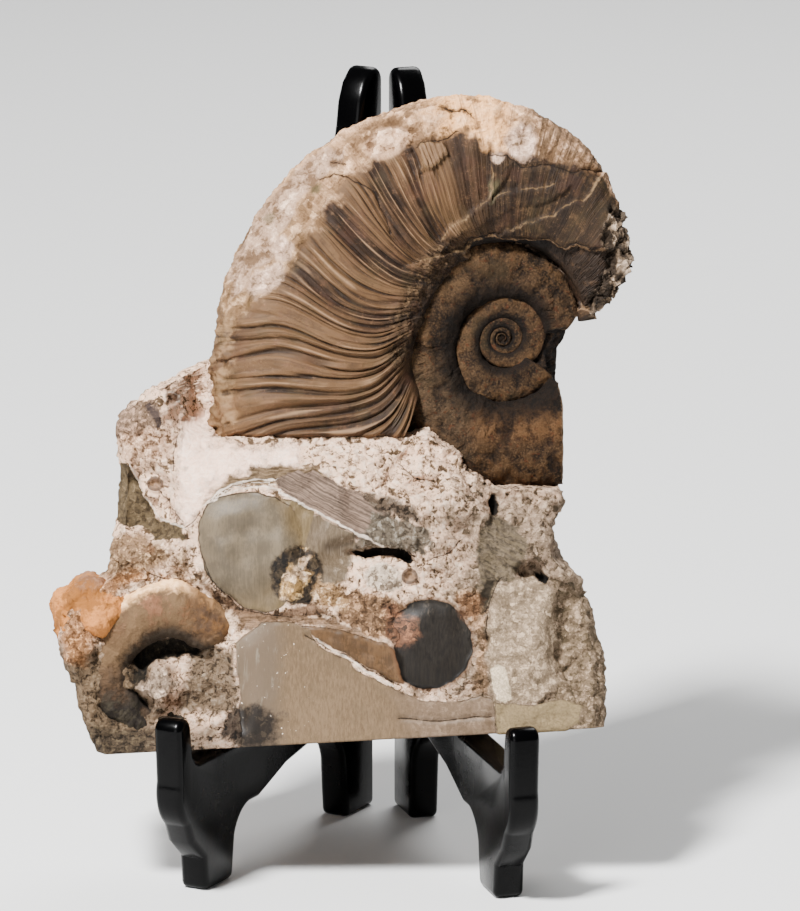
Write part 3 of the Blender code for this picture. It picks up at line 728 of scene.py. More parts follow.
def build_rock(material):
    """The block of rock, broken on most sides and polished on the lower front."""
    settings = bpy.context.scene.ammonite_rock
    grid, row = rock_grid()
    levels, ring = grid.shape[:2]
    points = grid.reshape(-1, 3)
    lip = points[:FRONT_COUNT + 1].copy()
    rise = np.maximum(BASE_RISE * (lip[:, 0] + 65.9), 0.0)
    depth = rise / BASE_FALL + 1.0
    lip[:, 1] = -67.5 + base_offset(lip[:, 0], depth, -67.5)
    lip[:, 2] = -depth
    points = np.vstack((points, lip))
    mesh = new_mesh("rock", points, rock_faces(levels, ring))
    normals = get_normals(mesh)
    seen = seen_at(points)
    spots = wavered(seen, points, 1.3)
    loose = wavered(seen, points, 5.0)
    column = np.tile(np.arange(ring), levels)
    column = np.concatenate((column, np.arange(FRONT_COUNT + 1)))
    in_front = (column <= FRONT_COUNT + SIDE_COUNT) | (column > FRONT_COUNT + 1 + SIDE_COUNT + BACK_COUNT)
    rows = np.concatenate((row.ravel(), np.full(FRONT_COUNT + 1, -67.5)))
    where = {"spots": spots, "loose": loose, "seen": seen}
    far = np.full(len(points), 50.0)
    regions = {}
    for kind, group in ROCK_REGIONS.items():
        for name, shapes in group.items():
            regions[name] = far.copy()
            regions[name][in_front] = inside_any(where[kind][in_front], shapes)
    lines = {name: far.copy() for name in ("crack_side", "crack_away", "bright_side", "bright_away")}
    for kind, drawn in (("crack", FACE_CRACKS), ("bright", BRIGHT_LINES)):
        side, away = from_lines(spots[in_front], drawn)
        lines[kind + "_side"][in_front], lines[kind + "_away"][in_front] = side, away

    flat = np.zeros(len(points))
    for name in ("oval", "brushed_sheen", "band", "dark_oval"):
        flat = np.maximum(flat, ease(-regions[name], -0.15, 0.35))
    smooth = flat.copy()
    for name, amount in (("cast", 0.7), ("yellow", 0.8), ("left_facet", 0.5), ("white_bar", 0.8),
                         ("fibrous", 0.65), ("crystal", 0.5), ("layered", 0.8), ("smooth_white", 0.72),
                         ("pink_layer", 0.5), ("grey_chip", 0.4), ("brown_top", 0.4)):
        smooth = np.maximum(smooth, amount * ease(-regions[name], -0.2, 0.5))
    lumps = fractal(points, 4.2, 11.3, 5, 0.75)
    grains = fractal(points, 0.9, 4.4, 3, 0.7)
    relief = (0.55 * lumps + 1.3 * chipped(points, 4.5, 2.7) + 0.8 * chipped(points, 1.9, 5.2)
              + 0.14 * grains) * settings.relief / MM
    amount = (1.0 - smooth) * np.where(in_front, 1.0, 0.8) * ease(rows, -67.5, -64.5)
    raised = relief * amount
    raised -= 0.55 * ease(-regions["pits"], -0.3, 0.5) * 3.0
    raised -= 1.6 * ease(-regions["shaded_hollow"], -0.6, 1.6) + 1.5 * ease(-regions["shaded_crescent"], -0.6, 1.2)
    raised -= 0.4 * ease(-regions["wedge"], -0.2, 0.5) + 0.3 * ease(-regions["lump_arc"], -0.2, 0.4)
    raised += 0.5 * ease(-regions["left_lump"], -0.3, 0.8) - 0.5 * ease(-regions["left_facet"], -0.1, 0.3)
    raised -= 0.35 * np.exp(-(lines["crack_away"] / 0.35) ** 2)
    raised += 0.35 * ease(-regions["cast"], -0.3, 0.5) + 0.3 * ease(-regions["yellow"], -0.2, 0.3)
    raised += 0.16 * np.exp(-(lines["bright_away"] / 0.3) ** 2)
    raised += 0.45 * ease(-regions["layered"], -0.1, 0.4) * (1 - ease(-regions["layered"], 0.8, 3.0))
    raised -= 0.3 * ease(-regions["dark_oval"], -0.3, 0.2)
    raised += 0.5 * np.exp(-((regions["rings"] + 0.25) / 0.3) ** 2)
    points = points + normals * raised[:, None]
    back = (column > FRONT_COUNT + SIDE_COUNT) & (column <= FRONT_COUNT + 1 + SIDE_COUNT + BACK_COUNT)
    behind = back | (points[:, 2] < -13.0)
    points[behind] = clear_of_leaves(points[behind], 1.6)
    low = rows < -66.9
    points[low & (column > FRONT_COUNT)] = grid.reshape(-1, 3)[(low & (column > FRONT_COUNT))[:levels * ring]]
    # Where the rock shows under the shell's broken end, which is painted with shade.
    store(mesh, "between", ease(seen[:, 0], 505.0, 530.0) * ease(-seen[:, 1], -322.0, -312.0)
          * ease(points[:, 2], -21.0, -19.0))
    set_points(mesh, placed(points))
    for name, values in (regions | lines).items():
        store(mesh, name, values)
    store(mesh, "relief", raised)
    store(mesh, "smudge", inside_any(seen, [((241, 524), (9, 6), 0.0), ((212, 548), (6, 5), 0.0)]))
    store(mesh, "seen_x", spots[:, 0])
    store(mesh, "seen_y", spots[:, 1])
    made = new_object("rock", mesh, material)
    return finish_piece(made, "root", "stone", "ammonite_stone")


def rock_finish():
    """Cream rock, with its polished cross-sections, stains and cracks, and painted shade and highlights on its relief
    and in its hollows.
    """
    settings = bpy.context.scene.ammonite_rock
    f = Finish("rock")
    wide = f.noise(f.at, 0.07, 3.0)
    middle = f.noise(f.at, 0.35, 5.0, 0.7)
    broken = f.noise(f.at, 0.9, 7.0, 0.72)
    fine = f.noise(f.at, 3.0, 4.0, 0.7)
    twist = f.add("ShaderNodeTexNoise", None, {"Vector": f.at, "Scale": 0.8, "Detail": 3.0}, "Color")
    bent = f.vector("ADD", f.at, f.vector("SCALE", twist, scale=1.1))
    large_chip, tone = f.chips(bent, 0.75)
    small_chip, small_tone = f.chips(bent, 1.9)
    relief = f.attribute("relief")
    across, down = f.attribute("seen_x"), f.attribute("seen_y")
    edge = (middle - 0.5) * 0.9 + (broken - 0.5) * 0.8
    # lit follows the relief's height: dark paints shade into the crevices and pale paints highlights onto the edges.
    lit = broken + large_chip * 0.3 + small_chip * 0.5 + (tone - 0.5) * 0.08 + relief * 0.05
    dark = f.step(lit, 0.46, 0.34)
    pale = f.step(lit, 0.52, 0.64)

    def inside(name, soft=0.08, ragged=1.0):
        return f.step(f.attribute(name) + edge * ragged, soft, -soft)

    def broken_as(low, mid, high):
        """Three tones: painted shade in the crevices, the faces' own colour, and a painted highlight on the edges that
        catch the light.
        """
        return f.mix(pale * 0.8, f.mix(dark * 0.9, colour(mid), colour(low)), colour(high))

    def stained(under, stains):
        """Lays regions on a colour, stains and painted shadows alike: name, softness, raggedness, strength, and one
        tone or three.
        """
        for name, soft, ragged, strength, *tones in stains:
            tone = broken_as(*tones) if len(tones) > 1 else colour(tones[0])
            under = f.mix(inside(name, soft, ragged) * strength, under, tone)
        return under

    def two(mask, first, second):
        return f.mix(mask, colour(first), colour(second))

    # The cream faces, the darker tint painted into the crevices as shade, and a painted highlight on the edges.
    base = f.mix(pale, f.mix(dark, paint(settings.cream), paint(settings.shade)), colour("fbf0e6"))
    clean = f.step(down + (middle - 0.5) * 60, 530, 490) * f.step(across + (middle - 0.5) * 60, 470, 430)
    browner = f.step(middle + (fine - 0.5) * 0.3, 0.5, 0.62)
    base = f.mix(browner * (0.55 - clean * 0.4), base, broken_as("7d6751", "ab9479", "cdb8a0"))
    # Painted shade in the deepest crevices.
    base = f.mix(f.step(lit, 0.36, 0.28) * (0.85 - clean * 0.35), base, colour("5f4c39"))
    greyer = f.step(across + (middle - 0.5) * 160, 380, 500) * f.step(down + (middle - 0.5) * 80, 450, 520)
    base = f.mix(greyer * 0.85, base, broken_as("766856", "a29483", "c9bbab"))
    right = f.step(across + (middle - 0.5) * 60, 535, 565) * f.step(down, 560, 600)
    base = f.mix(right * 0.7, base, broken_as("8f8069", "b6a691", "d2c3b2"))
    low_left = f.step(across + (middle - 0.5) * 90, 200, 130) * f.step(down + (middle - 0.5) * 60, 610, 670)
    base = f.mix(low_left * 0.95, base, broken_as("52422f", "8b785f", "b6a48c"))
    foot = f.step(across, 260, 200) * f.step(down + (middle - 0.5) * 30, 715, 735)
    base = f.mix(foot * 0.8, base, broken_as("2c251c", "5b5042", "8b7e68"))
    sandy = f.step(fine, 0.38, 0.62)
    base = f.mix(inside("smooth_white", 1.0, 3.0) * 0.9, base, f.mix(
        f.step(broken + (wide - 0.5) * 0.4, 0.42, 0.6), two(sandy, "e2d0c3", "f6e9e0"), two(sandy, "f0e2d8", "fdf3ec")))
    base = stained(base, (
        ("speckled", 1.5, 4.0, 0.8, "8b7059", "cbb29d", "eddccd"),
        ("left_lump", 0.3, 1.2, 0.9, "806a57", "a5907d", "d4bead"),
        ("lump_arc", 0.25, 0.8, 0.85, "5c5150"),
        ("left_facet", 0.15, 1.0, 1.0, "665743", "908067", "b4a48c"),
        ("olive_lump", 0.9, 3.0, 0.9, "8b7257", "b89f84", "d8c1a3")))
    mid_left = f.step(down + (middle - 0.5) * 40, 540, 560) * f.step(across, 240, 215) * f.step(down, 640, 600)
    base = f.mix(mid_left * f.step(middle, 0.42, 0.56) * 0.8, base, broken_as("6e563f", "aa947b", "ddcbb6"))
    base = stained(base, (
        ("shady", 0.9, 3.0, 0.9, "54473a", "85755f", "b5a897"),
        ("white_corner", 0.5, 2.0, 0.8, "a8927c", "dccbbb", "f4ebe3")))

    brushed_at = f.vector("MULTIPLY", f.at, (1.0, 1.0, 0.03))
    scratch = f.noise(brushed_at, 3.2, 4.0, 0.75)
    thin = f.step(scratch, 0.35, 0.65)
    streak = f.step(f.noise(brushed_at, 1.1, 3.0, 0.7), 0.54, 0.72)
    olive = f.step(down + (across - 198.0) * 0.35 + (wide - 0.5) * 60, 585, 640).most(
        f.step(across - down * 0.5 + (middle - 0.5) * 20, 14, 34))
    polish = f.mix(f.step(scratch * 0.5 + middle * 0.5, 0.42, 0.58), colour("807565"), colour("988c7a"))
    polish = f.mix(olive * 0.85, polish, f.mix(thin, colour("7a6848"), colour("938163")))
    polish = f.mix(f.step(fine, 0.58, 0.72) * 0.2, polish, colour("6d6152"))
    smudge = f.step(f.attribute("smudge") + edge * 1.5, 1.2, -0.4)
    polish = f.mix(smudge * 0.3, polish, colour("5d5346"))
    # The brushed polish: its scratches are its own, while its grey tone and pale streaks are a painted sheen.
    brushed_sheen = f.mix(thin, colour("7b6c5a"), colour("9c8e7c"))
    brushed_sheen = f.mix(f.step(across + (middle - 0.5) * 12, 322, 336) * streak * 0.8, brushed_sheen, colour("beb4a8"))
    warm = f.mix(f.step(scratch + (wide - 0.5) * 0.5, 0.35, 0.65), colour("89765f"), colour("a6937c"))
    warm = f.mix(f.step(middle, 0.5, 0.62) * 0.4, warm, colour("8a7962"))
    warm = f.mix(f.step(across + (middle - 0.5) * 30, 290, 270) * 0.85, warm, f.mix(streak, colour("8c7d6d"),
                                                                             colour("aaa194")))
    warm = f.mix(f.step(across + (middle - 0.5) * 60, 380, 430) * 0.8, warm, broken_as("847260", "9f8d7c", "b5a595"))
    warm = f.mix(f.step(f.noise(f.at, 1.6, 2.0), 0.7, 0.76) * f.step(across, 320, 290), warm, colour("e6e0d8"))
    slope = f.attribute("seen_y") * 0.88 - f.attribute("seen_x") * 0.48
    fibres = f.noise(f.join(slope * 0.55, across * 0.02, 0.0), 1.0, 4.0, 0.65)
    base = f.mix(inside("brown_top", 0.4, 1.6), base, f.mix(f.step(f.noise(f.join(
        down * 0.35 + (middle - 0.5) * 2.0, across * 0.03, 0.0), 1.0, 4.0, 0.7), 0.4, 0.62),
        colour("7e6b53"), colour("bfad97")))
    base = f.mix(inside("fibrous", 0.15, 0.8), base, f.mix(f.step(fibres, 0.38, 0.64), colour("85766a"),
                                                           colour("bcaa9d")))
    base = stained(base, (
        ("dark_patch", 0.4, 2.0, 0.95, "41362b", "6f6152", "a5988a"),
        ("chips", 0.4, 2.0, 0.95, "5b5246", "8f8577", "bcb6ac"),
        ("chalky", 0.3, 1.5, 0.9, "a89887", "d3c9bd", "eee7df"),
        ("rusty", 0.4, 1.5, 0.9, "4f3b29", "7f6146", "a98a6b"),
        ("crumbs", 0.5, 2.5, 0.95, "6b543f", "a68a6e", "dcc3aa")))
    base = f.mix(inside("pink_layer", 0.3, 1.2) * 0.9, base, f.mix(f.step(f.noise(f.join(
        down * 0.5 + (middle - 0.5) * 2.0, across * 0.02, 0.0), 1.0, 3.0, 0.7), 0.4, 0.62),
        colour("8d765f"), colour("c0a891")))
    base = f.mix(inside("layered", 0.12, 0.5), base, f.mix(f.step(scratch + (middle - 0.5), 0.35, 0.65),
                                                           colour("685138"), colour("84694c")))
    base = f.mix(inside("band", 0.12, 0.5), base, warm)
    base = f.mix(inside("brushed_sheen", 0.3, 0.8), base, brushed_sheen)
    base = f.mix(inside("olive_strip", 0.1, 0.3), base, f.mix(thin, colour("8d7d62"), colour("a39378")))
    base = f.mix(inside("oval", 0.06, 0.06), base, polish)
    rim = f.step(f.attribute("oval").size() + (middle - 0.5) * 0.25, 0.16, 0.03)
    base = f.mix(rim * f.step(across + (middle - 0.5) * 60, 296, 270) * 0.75, base, colour("4b3826"))
    # The crystal: dark, and darkest in its crevices as painted shade.
    base = f.mix(inside("crystal", 0.35, 1.6), base, f.mix(dark, broken_as("2a2218", "463a2c", "6f604b"),
                                                           colour("221b13")))
    heart = f.step(f.attribute("heart") + edge * 3.2, 0.35, -0.35)
    base = f.mix(heart, base, f.mix(f.step(middle, 0.42, 0.6), broken_as("8d7450", "c7ae86", "efe0c6"),
                                    broken_as("8f7b66", "d2c0ac", "efe6dc")))
    base = f.mix(inside("clump", 0.5, 3.0), base, broken_as("7b6248", "c7ae8f", "efe2d2"))
    black = f.mix(thin, colour("231c15"), colour("393127"))
    black = f.mix(f.step(down + (middle - 0.5) * 20, 645, 612) * streak * 0.7, black, colour("776c5e"))
    # Painted shadow of the crack along the dark oval's lower edge.
    black = f.mix(f.step(f.attribute("dark_oval"), -0.9, -0.1) * f.step(down, 650, 670) * 0.8, black, colour("1d1813"))
    base = f.mix(f.step(f.attribute("dark_oval") + edge, 0.9, 0.1) * 0.6, base, colour("8a6a52"))
    base = f.mix(inside("dark_oval", 0.1, 0.5), base, black)
    base = stained(base, (
        ("orange_edge", 0.7, 3.0, 0.9, "4f4033", "93705a", "c9a388"),
        ("right_rim", 0.6, 2.5, 0.85, "7d674e", "b39a80", "d8c0a8")))
    base = f.mix(inside("grey_chip", 0.4, 1.6) * 0.95, base, f.mix(f.step(f.noise(f.join(
        slope * 0.3, across * 0.06, 0.0), 1.0, 3.0, 0.7), 0.42, 0.6), broken_as("63594a", "84796a", "a89b8a"),
        colour("a1947f")))
    base = f.mix(inside("wedge", 0.25, 0.8), base, colour("53493b"))
    # The cast, with painted shade in its crevices and a painted highlight on its edges.
    base = f.mix(inside("cast", 0.5, 1.6) * 0.95, base, f.mix(pale * 0.7, f.mix(dark * 0.6, two(
        sandy, "b4a592", "c3b5a4"), colour("9b8b77")), colour("d4c7b7")))
    base = f.mix(inside("yellow", 0.25, 0.8) * 0.95, base, f.mix(sandy, colour("aa9b81"), colour("b9ab91")))
    base = f.mix(inside("white_bar", 0.12, 0.5), base, f.mix(sandy, colour("cabfae"), colour("d8cebf")))
    base = stained(base, (
        ("rust", 0.5, 2.5, 0.7, "6a4a31", "9b7453", "c19a75"),
        ("orange", 0.9, 3.0, 0.9, "96714f", "c7a07a", "e6c7a6"),
        ("bulge", 0.5, 2.0, 0.9, "a08f7f", "cbbdaf", "ebe0d6"),
        # Painted shadow inside the small shell's coil and in the hollow under it.
        ("shaded_crescent", 0.8, 1.5, 1.0, "251f14", "41382a", "6d6150"),
        ("shaded_hollow", 0.9, 2.0, 1.0, "120e09", "1f1911", "3c3428"),
        ("dark_low", 1.2, 4.0, 0.95, "17110b", "2a2118", "54493b"),
        # The rock behind the coil, painted dark where it shows between the whorls: the shell's dark brown and painted
        # shade.
        ("core", 0.3, 1.0, 1.0, "1f1710", "3a2b1e", "5c4936"),
        # Painted shadow in the slot, the pit and the cavity.
        ("pits", 0.15, 0.6, 1.0, "30271d")))
    ring = f.attribute("rings")
    base = f.mix(f.step(ring + edge * 0.15, 0.08, -0.08) * 0.85, base, f.mix(
        f.step(ring + edge * 0.3, -0.4, -0.55), colour("6b503a"), colour("b79c82")))
    # Painted shade on the rock under the shell's broken end.
    base = f.mix(f.attribute("between") * 0.9, base, broken_as("150d07", "2b1d12", "463322"))
    crack = f.step(f.attribute("crack_side").size() + (broken - 0.5) * 0.5, 0.13, 0.02) * f.step(
        f.attribute("crack_away"), 0.6, 0.4)
    base = f.mix(crack * 0.85, base, colour("3f3021"))
    bright = f.step(f.attribute("bright_side").size() + (broken - 0.5) * 0.9, 0.24, 0.06) * f.step(
        f.attribute("bright_away"), 0.7, 0.5)
    base = f.mix(bright * 0.75, base, colour("e6dfd8"))
    flat = inside("oval", 0.1, 0.1).most(inside("brushed_sheen")).most(inside("band")).most(inside("dark_oval"))
    flat = flat.most(inside("olive_strip", 0.1, 0.3)).most(inside("layered", 0.1, 0.3))
    calm = flat.most(inside("cast", 0.4) * 0.55).most(inside("yellow") * 0.75).most(inside("white_bar") * 0.85)
    calm = calm.most(inside("smooth_white", 1.0, 3.0) * 0.6).most(inside("fibrous", 0.2) * 0.6)
    height = (1.0 - calm) * (broken * 1.0 + fine * 0.2 + large_chip * 1.1 + small_chip * 0.9)
    height = height + flat * (scratch * 0.03 + broken * 0.04) - crack * 0.15
    height = height + (calm - flat).most(0.0) * fine * 0.12 + inside("fibrous", 0.2) * fibres * 0.5
    roughness = 0.95 - flat * 0.45 + (scratch - 0.5) * flat * 0.3
    return f.close(base, roughness, height, Specular_IOR_Level=0.2)


# The shells

RIB_PHASE = ((15.0, -58.0), (85.0, 0.0), (118.0, 22.0), (150.0, 39.0), (172.0, 47.0), (205.0, 55.0),
             (221.0, 58.5))
RIB_RISE = ((15.0, 0.12), (85.0, 0.14), (104.0, 0.55), (125.0, 0.8), (150.0, 1.0), (160.0, 1.3),
            (172.0, 2.2), (190.0, 3.0), (221.0, 3.0))
BROKEN_RIM = ((15.0, 0.43), (29.0, 0.245), (47.0, 0.158), (65.0, 0.04), (81.0, -0.017), (96.5, -0.056),
              (116.5, -0.042), (134.0, -0.04), (152.0, -0.03), (172.0, -0.022), (192.0, -0.008),
              (221.0, -0.008))
OUTER_SEAM = ((15.0, 12.6), (26.0, 12.9), (50.0, 13.8), (80.0, 14.8), (114.0, 14.8), (143.0, 12.9),
              (175.0, 12.6), (203.0, 15.0), (221.0, 15.7))
INNER_SEAM = ((-352.0, 6.8), (-315.0, 6.9), (-270.0, 6.6), (-235.0, 6.1), (-180.0, 7.0), (-150.0, 8.1),
              (-120.0, 9.7), (-90.0, 10.2), (-36.0, 10.0))
COIL_RIM = ((-1500.0, 0.5), (-1260.0, 0.95), (-1080.0, 1.4), (-900.0, 1.95), (-720.0, 3.3), (-630.0, 3.6),
            (-540.0, 3.7), (-450.0, 4.8), (-360.0, 7.2), (-315.0, 7.2), (-270.0, 6.9), (-235.0, 6.4),
            (-180.0, 7.5), (-150.0, 8.7), (-120.0, 10.3), (-90.0, 10.8), (-36.0, 10.6))
SAWN_EDGE = ((-24.4, 9.8), (-11.0, 9.8), (-8.2, 9.2), (-3.9, 8.7), (-1.5, 9.1), (0.5, 10.0), (3.4, 12.0),
             (5.2, 16.6), (9.0, 30.0))
RIB_BOW = ((15.0, -3.0), (90.0, 0.0), (125.0, 3.0), (152.0, 7.0), (172.0, 9.0), (200.0, 8.0), (221.0, 6.0))
RIB_HOOK = ((15.0, 3.0), (90.0, 4.0), (130.0, 8.0), (180.0, 17.0), (200.0, 15.0), (221.0, 14.0))
MOUTH_ANGLE = 192.0
GROWTH = 0.0024
SEAM_SHARE = 0.42
FLATNESS = 0.52


def whorl_tree(name, tables):
    """A tree that coils a tube and raises its ribs. tables hold the laws that change along the coil."""
    tree = bpy.data.node_groups.new(name, "GeometryNodeTree")
    tree.is_modifier = True
    sizes = (("First angle", "NodeSocketFloat", 15.0), ("Last angle", "NodeSocketFloat", 221.0),
             ("Rings", "NodeSocketInt", 700), ("Corners", "NodeSocketInt", 130),
             ("Rim at mouth", "NodeSocketFloat", 47.6), ("Plane", "NodeSocketFloat", 13.8),
             ("Rib height", "NodeSocketFloat", 0.25), ("Seam share", "NodeSocketFloat", SEAM_SHARE),
             ("Seed", "NodeSocketFloat", 3.0), ("Material", "NodeSocketMaterial", None))
    for label, kind, default in sizes:
        made = tree.interface.new_socket(name=label, in_out="INPUT", socket_type=kind)
        if default is not None:
            made.default_value = default
    tree.interface.new_socket(name="Mesh", in_out="OUTPUT", socket_type="NodeSocketGeometry")
    n = Nodes(tree)
    given = n.add("NodeGroupInput")
    size = {label: given.output(label) for label, _, _ in sizes}
    grid = n.add("GeometryNodeMeshGrid", None, {"Size X": 1.0, "Size Y": 1.0, "Vertices X": size["Rings"],
                                                "Vertices Y": size["Corners"]}, "Mesh")
    x, y, _ = n.parts(n.add("GeometryNodeInputPosition"))
    along = x + 0.5
    angle = size["First angle"] + along * (size["Last angle"] - size["First angle"])
    around = n.curve(y + 0.5, tables["around"])
    rim = size["Rim at mouth"] * n.math("EXPONENT", (angle - MOUTH_ANGLE) * GROWTH)
    outer = n.curve(angle, tables["rim"]) if "rim" in tables else rim * (1.0 - n.curve(angle, tables["broken"]))
    seam = n.curve(angle, tables["seam"]) if "seam" in tables else rim * size["Seam share"]
    end = ((angle - size["First angle"]).least(size["Last angle"] - angle) / tables["rounding"]).least(1.0)
    cap = n.math("SQRT", (1.0 - (1.0 - end) * (1.0 - end)).most(0.0))
    middle = (outer + seam) * 0.5
    half_height = (outer - seam) * 0.5
    half_width = (half_height * FLATNESS).most(tables.get("thinnest", 0.7)) * cap
    half_height = half_height * cap
    turn = around * (2.0 * math.pi)
    cosine, sine = n.math("COSINE", turn), n.math("SINE", turn)
    across = n.math("SIGN", cosine) * cosine.size() ** 0.85
    outward = n.math("SIGN", sine) * sine.size() ** 0.72
    share = (across + 1.0) * 0.5
    jitter = n.add("ShaderNodeTexNoise", {"noise_dimensions": "1D"},
                   {"W": angle * 0.23 + size["Seed"], "Scale": 1.0, "Detail": 2.0}) - 0.5
    drift = n.add("ShaderNodeTexNoise", {"noise_dimensions": "2D"},
                  {"Vector": n.join(angle * 0.11 + size["Seed"], share * 1.3, 0.0), "Scale": 1.0, "Detail": 1.0}) - 0.5
    phase = n.curve(angle, tables["phase"]) + jitter * 1.1 + drift * tables.get("wander", 0.0)
    part = n.math("FRACT", phase + 100.0)
    crest = 1.0 - (part * 2.0 - 1.0).size() ** 2.2
    waver = n.add("ShaderNodeTexNoise", {"noise_dimensions": "2D"},
                  {"Vector": n.join(phase * 0.9 + size["Seed"] * 2.0, share * 1.4, 0.0), "Scale": 1.0, "Detail": 1.0})
    bundle = n.add("ShaderNodeTexNoise", {"noise_dimensions": "2D"},
                   {"Vector": n.join(phase * 0.24 + size["Seed"], share * 0.9, 0.0), "Scale": 1.0, "Detail": 2.0})
    ragged = n.add("ShaderNodeTexNoise", {"noise_dimensions": "1D"}, {"W": angle * 0.14, "Scale": 1.0, "Detail": 4.0})
    fade_at = n.curve(angle, tables["fade"]) + (ragged - 0.5) * tables.get("ragged", 0.0)
    fade = n.step(share, fade_at + 0.08, fade_at - 0.08) * n.step(share, 0.02, 0.12)
    swell = crest * (0.25 + waver * 1.5) + (bundle - 0.5) * tables.get("bundling", 0.0)
    lift = size["Rib height"] * n.curve(angle, tables["rise"]) * swell * fade
    sweep = n.curve(angle, tables["bow"]) * n.step(0.75 - share, 0.0, 0.5) - n.curve(
        angle, tables["hook"]) * (1.0 - share * 4.0).most(0.0) ** 2.0
    radians = (angle + sweep) * (math.pi / 180.0)
    radius = middle + half_height * across + lift * 0.35 * across.most(0.0)
    place = n.join(radius * n.math("COSINE", radians), radius * n.math("SINE", radians),
                   (half_width + lift * cap) * outward - size["Plane"])
    shape = grid
    for label, value in (("angle", angle), ("share", share), ("rib", phase), ("ribbed", fade),
                         ("bundle", bundle), ("outward", outward)):
        shape = n.add("GeometryNodeStoreNamedAttribute", {"data_type": "FLOAT", "domain": "POINT"},
                      {"Geometry": shape, "Name": label, "Value": value})
    shape = n.add("GeometryNodeSetPosition", None, {"Geometry": shape, "Position": place})
    shape = n.add("GeometryNodeMergeByDistance", None, {"Geometry": shape, "Distance": 0.0005})
    shape = n.add("GeometryNodeSetShadeSmooth", None, {"Geometry": shape, "Shade Smooth": True})
    shape = n.add("GeometryNodeRealizeInstances", None, {"Geometry": shape})
    shape = n.add("GeometryNodeSetMaterial", None, {"Geometry": shape, "Material": size["Material"]})
    last = n.tree.nodes.new("NodeGroupOutput")
    n.put(last.inputs["Mesh"], shape)
    return tree


def grown(name, tree, material, **sizes):
    """The plain mesh that a tree makes with these sizes."""
    carrier = bpy.data.objects.new(name + "_carrier", bpy.data.meshes.new(name + "_carrier"))
    bpy.context.scene.collection.objects.link(carrier)
    modifier = carrier.modifiers.new("coil", "NODES")
    modifier.node_group = tree
    known = {item.name: item.identifier for item in tree.interface.items_tree if item.item_type == "SOCKET"}
    modifier[known["Material"]] = material
    for label, value in sizes.items():
        modifier[known[label.replace("_", " ")]] = value
    graph = bpy.context.evaluated_depsgraph_get()
    mesh = bpy.data.meshes.new_from_object(carrier.evaluated_get(graph), preserve_all_data_layers=True,
                                           depsgraph=graph)
    carrier.modifiers.remove(modifier)
    bpy.data.objects.remove(carrier, do_unlink=True)
    mesh.name = name
    return mesh


def outward_faces(mesh):
    """Turns the faces round if the closed mesh is inside out."""
    points = get_points(mesh)
    mesh.calc_loop_triangles()
    corners = np.empty(len(mesh.loop_triangles) * 3, dtype=np.int32)
    mesh.loop_triangles.foreach_get("vertices", corners)
    a, b, c = (points[corners.reshape(-1, 3)[:, i]] for i in range(3))
    if np.einsum("ij,ij->i", a, np.cross(b, c)).sum() < 0.0:
        mesh.flip_normals()
    mesh.update()


# Shapes seen on the large shell, on the picture's grid
SCAR = ((387, 142), (23, 15), -25.0)
WORN_PATCHES = (((521, 142), (15, 20), 5.0), ((498, 157), (5, 5), 0.0), ((281, 250), (10, 12), 0.0),
                ((266, 279), (22, 12), -40.0))
PALE_SQUARE = ((418, 146), (441, 141), (449, 153), (428, 168))
GREEN_SPOTS = (((315, 189), (8, 5), -30.0), ((267, 217), (6, 5), 0.0), ((494, 190), (5, 11), 10.0))
FLAKE = ((246, 290), (232, 300), (228, 275), (240, 240), (262, 208), (285, 182), (310, 158), (330, 148),
         (345, 150), (341, 163), (318, 177), (306, 190), (296, 203), (290, 222), (276, 240), (268, 262),
         (254, 268))
SHELL_CRACKS = (((332, 161), (343, 164)), ((319, 177), (333, 175), (347, 177), (357, 182), (374, 192)),
                ((417, 146), (430, 141), (446, 137), (457, 133)),
                ((444, 108), (455, 111), (461, 108), (473, 115)),
                ((492, 155), (507, 156), (522, 169), (535, 167), (542, 164), (555, 164), (568, 170),
                 (576, 173), (587, 168), (600, 172)),
                ((466, 247), (476, 241), (492, 236), (522, 238), (545, 241), (565, 247), (576, 244),
                 (591, 248), (608, 248)), ((374, 192), (384, 215), (395, 240)))
# Pale broken edges of shell flakes: raised a little, and painted with a highlight.
LIT_FLAKE_EDGES = (((440, 245), (450, 227), (466, 218), (480, 205), (492, 192), (492, 166)),
                ((496, 198), (507, 192), (518, 188), (535, 189), (553, 186)),
                ((513, 228), (527, 223), (553, 215), (567, 205), (582, 201), (591, 192), (600, 178)),
                ((420, 262), (440, 256), (466, 249), (492, 238)),
                ((418, 146), (441, 141), (449, 153), (428, 168), (418, 146)),
                ((372, 150), (378, 134), (392, 128), (405, 132)))
# The band sunk under the broken edge, painted with the shadow that falls there.
SHADOW_UNDER_LEDGE = ((464, 252), (476, 243), (492, 238), (522, 240), (545, 243), (565, 249), (576, 246), (591, 250),
               (616, 250), (616, 310), (575, 310), (560, 285), (535, 262), (500, 252), (480, 256))
BROKEN_END = ((612, 205), (600, 235), (607, 264), (599, 285), (586, 300), (590, 320), (650, 320), (650, 200))


def wavered(spots, points, reach=3.0):
    """Spots on the picture's grid, shifted a little so that lines drawn there waver as cracks do."""
    shift_x = fractal(points, 3.0, 31.0, 3, 0.6)
    shift_y = fractal(points, 3.0, 47.0, 3, 0.6)
    return spots + reach * np.column_stack((shift_x, shift_y))


